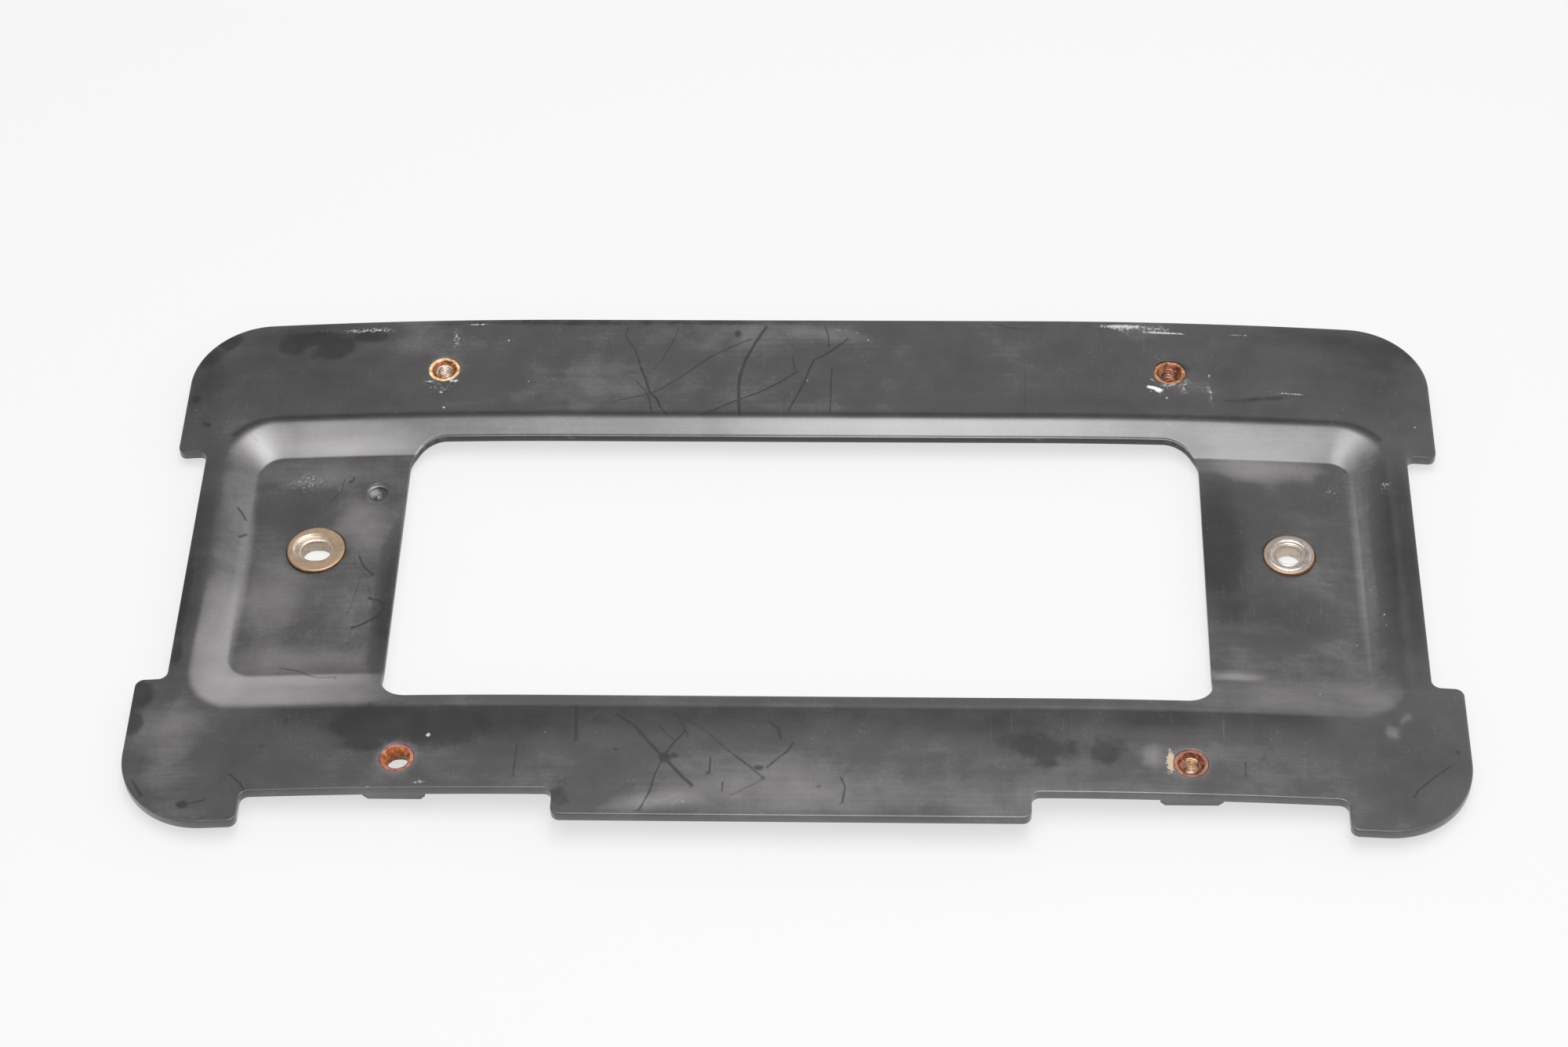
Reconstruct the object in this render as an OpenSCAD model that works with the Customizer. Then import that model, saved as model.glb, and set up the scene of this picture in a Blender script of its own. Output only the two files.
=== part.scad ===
// Number plate holder: a bowed moulded plate with a pocket and a window,
// four threaded inserts for the plate screws and two mounting sleeves.
// The part lies on its back. X runs along the plate, Y up the plate and Z
// out of its face. The origin is the middle of the outline at the lowest point.

/* [Body] */
// Overall width over the ears
body_w = 304; // [300:0.5:320]
// Overall height over the ears
body_h = 154.6; // [152:0.2:165]
// Wall thickness of the moulding
wall_t = 2.5; // [2:0.1:3.5]
// Radius of the upper outer corners
upper_corner_r = 18.5; // [10:0.5:28]
// Radius of the lower outer corners
lower_corner_r = 20.5; // [10:0.5:28]
// Width over the sides between the ears
waist_w = 289.6; // [286:0.2:300]
// Height of the step in each side
waist_h = 71; // [50:0.5:72]
// Radius of the small outline corners
small_r = 2; // [0.5:0.5:3]

/* [Bow] */
// Width of the flat middle of the face
flat_w = 112; // [80:2:150]
// Radius that the ends are swept back on
bow_r = 1100; // [900:50:3000]

/* [Lower edge] */
// Width of the middle tab
tab_w = 106.6; // [90:0.2:120]
// How far the tab's edge lies above the edge of the ears
tab_rise = 1.1; // [0:0.1:3]
// Distance between the two lower ears
lower_ear_gap = 247; // [232:0.5:255]
// Depth of the two notches beside the tab, from its edge
notch_d = 7.2; // [4:0.2:8]

/* [Pocket] */
// Depth of the pocket floor below the face
pocket_d = 4; // [3:0.1:6]
// Rim width above the pocket
rim_top = 32.3; // [28:0.1:36]
// Rim width below the pocket
rim_bottom = 31.4; // [28:0.1:36]
// Rim width beside the pocket, from the ear's edge
rim_side = 11.3; // [10:0.1:14]
// Width of the sloped wall above the pocket floor
slope_top = 9.7; // [7:0.1:11]
// Width of the sloped wall below the pocket floor
slope_bottom = 13.6; // [10:0.1:15]
// Width of the sloped wall at each end of the pocket
slope_side = 8.9; // [6:0.1:10]
// Corner radius of the pocket at the face
mouth_r = 12; // [11:0.5:16]
// Corner radius of the pocket floor
floor_r = 6; // [3:0.5:9]

/* [Window] */
// Width of the window
window_w = 190; // [160:1:194]
// Distance from the upper edge of the plate to the window
window_top = 37.7; // [36:0.1:44]
// Distance from the lower edge of the plate to the window
window_bottom = 35.9; // [35:0.1:44]
// Radius of the upper window corners
window_top_r = 8.5; // [3:0.5:14]
// Radius of the lower window corners
window_bottom_r = 6; // [3:0.5:14]

/* [Plate screws] */
// Distance between the plate screws along the plate
screw_pitch_x = 177.8; // [170:0.1:182]
// Distance between the upper and lower plate screws
screw_pitch_y = 120.65; // [118:0.05:122]
// Distance of the screw pattern below the middle of the plate
pattern_drop = 0; // [-1:0.05:1]
// Outer diameter of a threaded insert
insert_d = 7.8; // [7:0.1:9]
// Length of a threaded insert
insert_len = 6; // [5:0.1:6.5]
// Bore of a threaded insert, at the thread crests
thread_bore = 4.2; // [3.3:0.1:4.4]
// Diameter of the countersunk mouth of an insert
insert_mouth = 6.2; // [4.6:0.1:6.8]
// Depth of the countersunk mouth of an insert
insert_mouth_d = 1; // [0.2:0.1:1.4]
// Bore of the rusted insert whose thread is gone
rusted_bore = 5; // [4.4:0.1:5.4]
// Length that rust has taken off the lower end of that insert
rusted_loss = 2.2; // [0:0.1:2.6]
// Slant of its rusted lower end
rusted_slant = 12; // [0:1:15]
// How far the upper right insert has sunk below the face
sunk_insert = 0.3; // [0:0.05:0.6]
// Gap between an insert and its seat, on the radius
insert_gap = 0.05; // [0.02:0.01:0.1]
// Diameter of the boss round an insert
boss_d = 14; // [11:0.5:16]
// Depth, from the face, of the blocks that run from the lower bosses to the edge
block_d = 4.1; // [3.6:0.1:5]
// Chamfer on the long edges of those blocks
block_chamfer = 1.1; // [0.3:0.1:1.5]

/* [Mounting sleeves] */
// Distance between the two mounting sleeves
sleeve_pitch = 230; // [222:0.5:236]
// Height of the sleeves above the middle of the plate
sleeve_rise = 5.4; // [0:0.05:12]
// Diameter of the round bore, and height of the slotted one
sleeve_bore = 5.8; // [5:0.1:6.4]
// Length of the slotted bore
slot_len = 7; // [6.4:0.1:8.4]
// Sideways shift of the slotted bore in its flange
slot_shift = 0; // [0:0.1:1]
// Wall of a sleeve round its bore
sleeve_wall = 1.1; // [0.8:0.1:1.4]
// Flange diameter of the slotted sleeve
slot_flange_d = 13.8; // [13:0.1:15]
// Flange diameter of the round sleeve
round_flange_d = 12; // [11.5:0.1:14]
// Thickness of a sleeve's flange
flange_t = 1; // [0.8:0.1:1.3]
// Height of a flange above the middle of its seat's rim
flange_proud = 0.6; // [0.3:0.1:0.7]
// Width of the bevel at the mouth of a sleeve
bevel = 0.8; // [0.3:0.1:0.9]
// Outer diameter of the bead on the round sleeve
bead_d = 10.4; // [10:0.1:11]
// Height of that bead
bead_t = 0.25; // [0.1:0.05:0.4]
// Gap round a sleeve's flange, on the radius
flange_gap = 0.25; // [0.1:0.05:0.4]
// Gap between a sleeve and its hole, on the radius
sleeve_gap = 0.05; // [0.02:0.01:0.1]
// Diameter of the pad behind a sleeve
pad_d = 19; // [17:0.5:24]

/* [Moulding mark] */
// Distance of the mark from the middle of the plate
mark_x = 102; // [100:0.5:106]
// Height of the mark above the middle of the plate
mark_y = 23.25; // [15:0.05:26]
// Diameter of the mark's dimple
mark_d = 4.6; // [3:0.1:6]
// Diameter of the shallow ring round the dimple
mark_ring_d = 7; // [6:0.1:8]
// Depth of the dimple
mark_depth = 1.2; // [0.4:0.1:1.4]
// Depth of the ring
mark_ring_depth = 0.25; // [0.1:0.05:0.4]

/* [Hidden] */
$fn = 96;

// Extra length of cutters past the faces that they cut
past = 1;
// How far the sheet reaches past the outline before the outline is cut
sheet_over = 3;
// Steps in a quarter turn of a pocket corner
corner_steps = 8;
// Steps of the bow between the flat middle and a pocket corner
bow_steps = 6;
// Share of a pocket wall that its upper and its lower curve take
upper_curve = 0.3;
lower_curve = 0.1;
// Places across a pocket wall, from its mouth to the floor
wall_places = [0, 0.1, 0.2, 0.3, 0.9, 0.95, 1];

// Half sizes of the pocket at the face and at its floor
mouth_x = body_w / 2 - rim_side;
mouth_up = body_h / 2 - rim_top;
mouth_down = body_h / 2 - rim_bottom;
floor_x = mouth_x - slope_side;
floor_up = mouth_up - slope_top;
floor_down = mouth_down - slope_bottom;

// Height of the flat middle of the face above the lowest point
face_z = pocket_d + wall_t + bow(floor_x);
// Lines of the lower edge
ear_y = -body_h / 2;
notch_y = ear_y + tab_rise + notch_d;
// Screw places
screw_x = screw_pitch_x / 2;
screw_up = screw_pitch_y / 2 - pattern_drop;
screw_down = -screw_pitch_y / 2 - pattern_drop;
// Heights of an insert's upper end, and of a sleeve's seat
insert_z = face_at(screw_x);
floor_at_sleeve = face_at(sleeve_pitch / 2) - pocket_d;
seat_z = floor_at_sleeve + flange_proud - flange_t;

// Drop of the face at a distance from the middle
function bow(x) =
    let (out = max(abs(x) - flat_w / 2, 0))
    bow_r - sqrt(bow_r * bow_r - out * out);

// Height of the rim's face at a distance from the middle
function face_at(x) = face_z - bow(x);

// Depth of a pocket wall, as a share of the whole depth: a curve, a straight
// slope and a second curve that meet without a kink
function wall_depth(s) =
    let (slope = 1 / (1 - upper_curve / 2 - lower_curve / 2))
    s < upper_curve ? slope * s * s / (2 * upper_curve)
    : s < 1 - lower_curve ? slope * (s - upper_curve / 2)
    : 1 - slope * (1 - s) * (1 - s) / (2 * lower_curve);

// Upper half of a rounded rectangle round the middle, from right to left, with
// points along its edge where the bow bends it
function half_ring(side, up, r) =
    let (end = side - r, start = flat_w / 2)
    concat(
        [for (i = [0 : corner_steps])
            let (a = 90 * i / corner_steps)
            [end + r * cos(a), up - r + r * sin(a)]],
        [for (i = [bow_steps - 1 : -1 : 0]) [start + (end - start) * i / bow_steps, up]],
        [for (i = [0 : bow_steps - 1]) [-start - (end - start) * i / bow_steps, up]],
        [for (i = [0 : corner_steps])
            let (a = 90 + 90 * i / corner_steps)
            [-end + r * cos(a), up - r + r * sin(a)]]
    );

// A whole ring, laid a depth below the bowed face
function ring(side, up, down, r, depth) =
    let (flat = concat(half_ring(side, up, r), [for (p = half_ring(side, down, r)) [-p.x, -p.y]]))
    [for (p = flat) [p.x, p.y, face_at(p.x) - depth]];

// Rings of one skin of the sheet, from past the outline to the pocket floor
function skin(depth) = concat(
    ring(body_w / 2 + sheet_over, body_h / 2 + sheet_over, body_h / 2 + sheet_over, mouth_r, depth),
    [for (s = wall_places)
        for (p = ring(
            mouth_x - slope_side * s,
            mouth_up - slope_top * s,
            mouth_down - slope_bottom * s,
            mouth_r + (floor_r - mouth_r) * s,
            depth + pocket_d * wall_depth(s)
        )) p]
);

// Two triangles of a four-sided patch
function patch(a, b, c, d) = [[a, b, c], [a, c, d]];

// The bowed sheet with the pocket pressed in it, before its outline is cut
module sheet() {
    half = 2 * (corner_steps + 1 + bow_steps);
    n = 2 * half;
    rings = len(wall_places) + 1;
    under = rings * n;
    last = (rings - 1) * n;
    bands = [for (k = [0 : rings - 2]) for (i = [0 : n - 1])
        let (j = (i + 1) % n, a = k * n, b = a + n)
        [a + i, b + i, b + j, a + j]];
    floor_strips = [for (i = [0 : half - 2])
        [last + i, last + n - 1 - i, last + n - 2 - i, last + i + 1]];
    upper = [for (q = concat(bands, floor_strips)) for (t = patch(q[0], q[1], q[2], q[3])) t];
    lower = [for (t = upper) [under + t[2], under + t[1], under + t[0]]];
    edge = [for (i = [0 : n - 1])
        let (j = (i + 1) % n)
        for (t = patch(i, j, under + j, under + i)) t];
    polyhedron(concat(skin(0), skin(wall_t)), concat(upper, lower, edge));
}

// A flat rectangle with its own radius at the upper and lower corners
module rounded_flat(left, right, bottom, top, bottom_r, top_r) {
    translate([left, bottom + bottom_r]) square([right - left, top - bottom - bottom_r - top_r]);
    translate([left + bottom_r, bottom]) square([right - left - 2 * bottom_r, bottom_r + past / 10]);
    translate([left + top_r, top - top_r - past / 10])
        square([right - left - 2 * top_r, top_r + past / 10]);
    for (x = [left + bottom_r, right - bottom_r])
        translate([x, bottom + bottom_r]) circle(bottom_r);
    for (x = [left + top_r, right - top_r])
        translate([x, top - top_r]) circle(top_r);
}

// A notch of a given width and depth, open along the X axis towards -Y, with
// round inner corners and rounded ends of the edge that it opens
module notch(width, depth, r) {
    difference() {
        union() {
            rounded_flat(-width / 2, width / 2, -past, depth, past / 2, r);
            translate([-width / 2 - r, -past]) square([width + 2 * r, past + r]);
        }
        for (side = [-1, 1])
            translate([side * (width / 2 + r), r]) circle(r);
    }
}

// Outline of the plate: the ears, and the tab that is left in the gap between them
module outline() {
    difference() {
        rounded_flat(-body_w / 2, body_w / 2, ear_y, body_h / 2, lower_corner_r, upper_corner_r);
        for (side = [-1, 1])
            translate([side * body_w / 2, -pattern_drop])
                rotate(side * 90)
                    notch(waist_h, (body_w - waist_w) / 2, small_r);
        difference() {
            translate([0, ear_y]) notch(lower_ear_gap, notch_y - ear_y, small_r);
            translate([0, notch_y]) rotate(180) notch(tab_w, notch_d, small_r);
        }
    }
}

// Boss behind one insert; a lower one also has a block that runs to the edge
module insert_boss(x, y, to_edge) {
    in_sheet = face_at(screw_x) - wall_t / 2;
    bottom = insert_z - insert_len;
    translate([x, y, bottom]) cylinder(d = boss_d, h = in_sheet - bottom);
    if (to_edge) {
        h = block_d - wall_t / 2;
        translate([x, notch_y, in_sheet])
            rotate([-90, 0, 0])
                linear_extrude(y - notch_y)
                    polygon([
                        [-boss_d / 2, 0],
                        [boss_d / 2, 0],
                        [boss_d / 2, h - block_chamfer],
                        [boss_d / 2 - block_chamfer, h],
                        [block_chamfer - boss_d / 2, h],
                        [-boss_d / 2, h - block_chamfer]
                    ]);
    }
}

// A slot with round ends along X, or a round hole where its length is its height
module slot_flat(length, height) {
    reach = (length - height) / 2;
    for (side = [-1, 1])
        translate([side * reach, 0]) circle(d = height);
    if (reach > 0)
        square([2 * reach, height], center = true);
}

// What a sleeve takes out of the moulding
module sleeve_seat(x, shift, flange_d, length) {
    grow = 2 * (sleeve_wall + sleeve_gap);
    translate([x, sleeve_rise, seat_z])
        cylinder(d = flange_d + 2 * flange_gap, h = flange_t + past);
    translate([x - shift, sleeve_rise, -past])
        linear_extrude(seat_z + 2 * past)
            slot_flat(length + grow, sleeve_bore + grow);
}

// The moulded plate, one piece
module base_plate() {
    color([0.30, 0.29, 0.28]) difference() {
        union() {
            intersection() {
                sheet();
                translate([0, 0, -past]) linear_extrude(face_z + 2 * past) outline();
            }
            for (x = [-screw_x, screw_x]) {
                insert_boss(x, screw_up, false);
                insert_boss(x, screw_down, true);
            }
            for (x = [-1, 1])
                translate([x * sleeve_pitch / 2, sleeve_rise, 0])
                    cylinder(d = pad_d, h = floor_at_sleeve - wall_t / 2);
        }
        translate([0, 0, -past])
            linear_extrude(face_z + 2 * past)
                rounded_flat(
                    -window_w / 2,
                    window_w / 2,
                    ear_y + window_bottom,
                    body_h / 2 - window_top,
                    window_bottom_r,
                    window_top_r
                );
        for (x = [-screw_x, screw_x])
            for (y = [screw_down, screw_up])
                translate([x, y, -past])
                    cylinder(d = insert_d + 2 * insert_gap, h = face_z + 2 * past);
        sleeve_seat(-sleeve_pitch / 2, slot_shift, slot_flange_d, slot_len);
        sleeve_seat(sleeve_pitch / 2, 0, round_flange_d, sleeve_bore);
        moulding_mark();
    }
}

// Dimple and ring left by the moulding, beside the slotted sleeve
module moulding_mark() {
    z = face_at(mark_x) - pocket_d;
    translate([-mark_x, mark_y, z - mark_depth]) cylinder(d = mark_d, h = mark_depth + past);
    translate([-mark_x, mark_y, z - mark_ring_depth])
        cylinder(d = mark_ring_d, h = mark_ring_depth + past);
}

// A threaded insert with its upper end at z = 0
module insert_body(bore) {
    difference() {
        translate([0, 0, -insert_len]) cylinder(d = insert_d, h = insert_len);
        translate([0, 0, -insert_len - past]) cylinder(d = bore, h = insert_len + 2 * past);
        translate([0, 0, -insert_mouth_d])
            cylinder(d1 = min(bore, insert_mouth), d2 = insert_mouth, h = insert_mouth_d);
    }
}

module insert_top_left() {
    color([0.80, 0.66, 0.42])
        translate([-screw_x, screw_up, insert_z]) insert_body(thread_bore);
}

module insert_top_right() {
    color([0.62, 0.38, 0.22])
        translate([screw_x, screw_up, insert_z - sunk_insert]) insert_body(thread_bore);
}

// The insert whose thread and lower end have rusted away
module insert_bottom_left() {
    color([0.66, 0.38, 0.28])
        translate([-screw_x, screw_down, insert_z]) difference() {
            insert_body(rusted_bore);
            translate([0, 0, rusted_loss - insert_len])
                rotate([0, rusted_slant, 0])
                    translate([-insert_d, -insert_d, -2 * insert_d])
                        cube(2 * insert_d);
        }
}

module insert_bottom_right() {
    color([0.60, 0.37, 0.32])
        translate([screw_x, screw_down, insert_z]) insert_body(thread_bore);
}

// The slotted sleeve: a flange, a barrel to the back and a bevelled slot
module sleeve_left() {
    top = seat_z + flange_t;
    reach = (slot_len - sleeve_bore) / 2;
    wide = sleeve_bore + 2 * bevel;
    color([0.60, 0.48, 0.36]) translate([-sleeve_pitch / 2, sleeve_rise, 0]) difference() {
        union() {
            translate([0, 0, seat_z]) cylinder(d = slot_flange_d, h = flange_t);
            translate([-slot_shift, 0, 0])
                linear_extrude(seat_z + flange_t / 2)
                    slot_flat(slot_len + 2 * sleeve_wall, sleeve_bore + 2 * sleeve_wall);
        }
        translate([-slot_shift, 0, 0]) {
            translate([0, 0, -past])
                linear_extrude(top + 2 * past) slot_flat(slot_len, sleeve_bore);
            for (side = [-1, 1])
                translate([side * reach, 0, top - bevel])
                    cylinder(d1 = sleeve_bore, d2 = wide, h = bevel);
            translate([-reach, 0, top])
                rotate([90, 0, 90])
                    linear_extrude(2 * reach)
                        polygon([
                            [-wide / 2, 0],
                            [wide / 2, 0],
                            [sleeve_bore / 2, -bevel],
                            [-sleeve_bore / 2, -bevel]
                        ]);
        }
    }
}

// The round sleeve, turned: a flange with a bead and a dish down to the bore
module sleeve_right() {
    top = seat_z + flange_t;
    bore_r = sleeve_bore / 2;
    bead_r = bead_d / 2;
    color([0.68, 0.64, 0.58]) translate([sleeve_pitch / 2, sleeve_rise, 0])
        rotate_extrude()
            polygon([
                [bore_r, 0],
                [bore_r + sleeve_wall, 0],
                [bore_r + sleeve_wall, seat_z],
                [round_flange_d / 2, seat_z],
                [round_flange_d / 2, top],
                [bead_r, top],
                [bead_r - bead_t, top + bead_t],
                [bead_r - 2 * bead_t, top + bead_t],
                [bore_r + bevel, top - flange_t / 2],
                [bore_r, top - flange_t / 3]
            ]);
}

base_plate();
insert_top_left();
insert_top_right();
insert_bottom_left();
insert_bottom_right();
sleeve_left();
sleeve_right();
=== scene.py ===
"""Number plate holder: the moulded plate, its threaded inserts and mounting
sleeves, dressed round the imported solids, with a studio to show them in."""

import math
from types import SimpleNamespace

import bmesh
import bpy
import numpy as np
from bpy.props import FloatProperty, FloatVectorProperty, PointerProperty
from mathutils import Matrix, Vector, noise
from mathutils.geometry import delaunay_2d_cdt


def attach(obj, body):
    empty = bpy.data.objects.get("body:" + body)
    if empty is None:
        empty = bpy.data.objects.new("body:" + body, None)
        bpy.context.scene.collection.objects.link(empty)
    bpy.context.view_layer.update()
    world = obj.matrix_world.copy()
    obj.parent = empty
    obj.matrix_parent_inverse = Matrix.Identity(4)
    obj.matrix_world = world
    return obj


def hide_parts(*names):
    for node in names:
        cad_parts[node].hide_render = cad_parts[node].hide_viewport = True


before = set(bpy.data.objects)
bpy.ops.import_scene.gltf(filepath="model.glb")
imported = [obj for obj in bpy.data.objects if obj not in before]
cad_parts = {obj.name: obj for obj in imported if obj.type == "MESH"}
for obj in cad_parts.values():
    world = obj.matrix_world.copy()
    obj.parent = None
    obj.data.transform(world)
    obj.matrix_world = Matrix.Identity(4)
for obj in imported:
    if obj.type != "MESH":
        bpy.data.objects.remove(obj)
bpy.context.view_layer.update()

bl_info = {
    "name": "Number Plate Holder",
    "version": (1, 0, 0),
    "blender": (4, 5, 0),
    "location": "3D View > Sidebar > Plate Holder",
    "description": "Moulded plate with threaded inserts and mounting sleeves",
    "category": "Object",
}

MM = 0.001
# Points of a finished mesh that lie closer than this, in mm, are joined
JOIN_WITHIN = 0.003


# Settings


def length(name, millimetres, description):
    """A size that a user may change, kept in metres."""
    return FloatProperty(
        name=name,
        description=description,
        default=millimetres * MM,
        min=0.0,
        unit="LENGTH",
        subtype="DISTANCE",
        precision=5,
    )


def colour(name, rgb, description):
    """A linear colour that a user may change."""
    return FloatVectorProperty(
        name=name, description=description, default=rgb, size=3, min=0.0, max=1.0, subtype="COLOR"
    )


def in_mm(group):
    """The sizes of a property group by name, in millimetres."""
    return SimpleNamespace(
        **{
            p.identifier: getattr(group, p.identifier) / MM
            for p in group.bl_rna.properties
            if getattr(p, "unit", "") == "LENGTH"
        }
    )


class PlateSettings(bpy.types.PropertyGroup):
    """Sizes and colour of the moulded plate"""

    body_w: length("Width", 304, "Width over the ears")
    body_h: length("Height", 154.6, "Height over the ears")
    wall_t: length("Wall", 2.5, "Thickness of the moulding")
    upper_r: length("Upper corners", 18.5, "Radius of the upper outer corners")
    lower_r: length("Lower corners", 20.5, "Radius of the lower outer corners")
    waist_w: length("Waist", 289.6, "Width over the sides between the ears")
    waist_h: length("Side step", 71, "Height of the step in each side")
    small_r: length("Small corners", 2, "Radius of the small outline corners")
    flat_w: length("Flat middle", 112, "Width of the flat middle of the face")
    bow_r: length("Bow", 1100, "Radius that the ends are swept back on")
    tab_w: length("Tab", 106.6, "Width of the middle tab")
    tab_rise: length("Tab rise", 1.1, "How far the tab's edge lies above the ears' edge")
    ear_gap: length("Ear gap", 247, "Distance between the two lower ears")
    notch_d: length("Notch", 7.2, "Depth of the notches beside the tab")
    pocket_d: length("Pocket depth", 4, "Depth of the pocket floor below the face")
    rim_top: length("Upper rim", 32.3, "Rim width above the pocket")
    rim_bottom: length("Lower rim", 31.4, "Rim width below the pocket")
    rim_side: length("Side rim", 11.3, "Rim width beside the pocket")
    slope_top: length("Upper slope", 9.7, "Width of the sloped wall above the floor")
    slope_bottom: length("Lower slope", 13.6, "Width of the sloped wall below the floor")
    slope_side: length("Side slope", 8.9, "Width of the sloped wall at each end")
    mouth_r: length("Mouth corners", 12, "Corner radius of the pocket at the face")
    floor_r: length("Floor corners", 6, "Corner radius of the pocket floor")
    window_w: length("Window", 190, "Width of the window")
    window_top: length("Above window", 37.7, "Distance from the upper edge to the window")
    window_bottom: length("Below window", 35.9, "Distance from the ears' edge to the window")
    window_top_r: length("Upper window corners", 8.5, "Radius of the upper window corners")
    window_bottom_r: length("Lower window corners", 6, "Radius of the lower window corners")
    edge_r: length("Edge rounding", 0.3, "Worn rounding of the edges of the face")
    window_back_r: length("Window's back edge", 1.0, "Rounding of the window's edge at the back")
    back_edge_r: length("Back edge rounding", 0.2, "Rounding of the edges of the back")
    boss_d: length("Boss", 14, "Diameter of the boss behind an insert")
    block_d: length("Block depth", 4.1, "Depth of the blocks behind the lower rim")
    block_chamfer: length("Block chamfer", 1.1, "Chamfer on the long edges of the blocks")
    pad_d: length("Pad", 19, "Diameter of the pad behind a sleeve")
    mark_x: length("Mark distance", 102, "Distance of the moulding mark from the middle")
    mark_y: length("Mark height", 23.25, "Height of the moulding mark above the middle")
    mark_d: length("Dimple", 4.6, "Diameter of the dimple in the moulding mark")
    mark_ring_d: length("Mark ring", 7, "Diameter of the shallow ring round the dimple")
    plastic: colour("Plastic", (0.0325, 0.03, 0.0302), "Colour of the moulding")


class InsertSettings(bpy.types.PropertyGroup):
    """Sizes and colours of the threaded inserts"""

    pitch_x: length("Screw pitch along", 177.8, "Distance between plate screws along the plate")
    pitch_y: length("Screw pitch across", 120.65, "Distance between upper and lower plate screws")
    outer_d: length("Diameter", 7.8, "Outer diameter of an insert")
    long: length("Length", 6, "Length of an insert")
    bore_d: length("Crest bore", 4.2, "Bore at the thread crests")
    mouth_d: length("Mouth", 6.2, "Diameter of the countersunk mouth")
    mouth_deep: length("Mouth depth", 1, "Depth of the countersunk mouth")
    thread_pitch: length("Thread pitch", 0.55, "Distance between thread turns")
    thread_depth: length("Thread depth", 0.34, "Depth of the thread groove")
    rusted_bore_d: length("Rusted bore", 5, "Bore of the insert whose thread is gone")
    rusted_loss: length("Rusted loss", 2.2, "Length that rust has taken off its lower end")
    sunk: length("Sunk", 0.3, "How far the upper right insert has sunk")
    seat_gap: length("Seat gap", 0.05, "Gap between an insert and its seat")
    cream: colour("Cream rust", (0.60, 0.43, 0.24), "Crust on the upper left insert")
    brown: colour("Brown rust", (0.26, 0.11, 0.06), "Rust on the upper right insert")
    pink: colour("Pink rust", (0.32, 0.125, 0.09), "Rust on the lower left insert")
    red: colour("Red rust", (0.27, 0.125, 0.095), "Rust on the lower right insert")


class SleeveSettings(bpy.types.PropertyGroup):
    """Sizes and colours of the mounting sleeves"""

    pitch: length("Sleeve pitch", 230, "Distance between the two sleeves")
    rise: length("Rise", 5.4, "Height of the sleeves above the middle")
    bore_d: length("Bore", 5.8, "Diameter of the round bore and height of the slot")
    slot_len: length("Slot length", 7, "Length of the slotted bore")
    slot_shift: length("Slot shift", 0, "Sideways shift of the slot in its flange")
    dish_w: length("Dish width", 9.8, "Width of the dish in the slotted flange")
    dish_h: length("Dish height", 8.9, "Height of the dish in the slotted flange")
    dish_x: length("Dish shift along", -0.73, "Place of the dish along the plate, from the flange's middle")
    dish_y: length("Dish shift across", 0.3, "Place of the dish across the plate, from the flange's middle")
    bead_in: length("Bead inside", 7.9, "Inner diameter of the bead")
    wall: length("Barrel wall", 1.1, "Wall of a sleeve round its bore")
    slot_flange_d: length("Slotted flange", 13.8, "Flange diameter of the slotted sleeve")
    round_flange_d: length("Round flange", 12, "Flange diameter of the round sleeve")
    flange_t: length("Flange", 1, "Thickness of a flange")
    proud: length("Proud", 0.6, "Height of a flange above the pocket floor")
    bead_d: length("Bead", 10.4, "Outer diameter of the bead on the round sleeve")
    bead_t: length("Bead height", 0.25, "Height of that bead")
    seat_gap: length("Seat gap", 0.25, "Gap round a flange")
    barrel_gap: length("Barrel gap", 0.05, "Gap between a barrel and its hole")
    bronze: colour("Bronze", (0.47, 0.335, 0.225), "Tarnished plating of the slotted sleeve")
    silver: colour("Silver", (0.50, 0.40, 0.32), "Worn plating of the round sleeve")


class StudioSettings(bpy.types.PropertyGroup):
    """Light, floor and background of the studio"""

    lamp_z: length("Lamp height", 1000, "Height of the softboxes above the floor")
    lamp_front: length("Lamp front", 680, "How far the softboxes reach towards the camera")
    lamp_back: length("Lamp back", 330, "How far the softboxes reach back")
    lamp_level: FloatProperty(
        name="Lamp level", description="Brightness of all softboxes", default=1.0, min=0.0
    )
    sky_horizon: FloatProperty(
        name="Horizon", default=0.5, min=0.0, description="Light from the horizon"
    )
    sky_low: FloatProperty(
        name="Low sky", default=1.8, min=0.0, description="Light from low all round"
    )
    sky_high: FloatProperty(
        name="High sky", default=0.42, min=0.0, description="Light from above, round the lamp"
    )
    backdrop: FloatProperty(
        name="Backdrop", description="Brightness of the pale background", default=0.93, min=0.0, max=1.0
    )
    floor_tone: colour("Floor", (0.66, 0.66, 0.66), "Colour of the floor")


# Shape helpers


def smoothstep(low, high, value):
    """Smooth rise from 0 at low to 1 at high, on numbers or arrays."""
    t = np.clip((value - low) / (high - low), 0.0, 1.0)
    return t * t * (3 - 2 * t)


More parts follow.
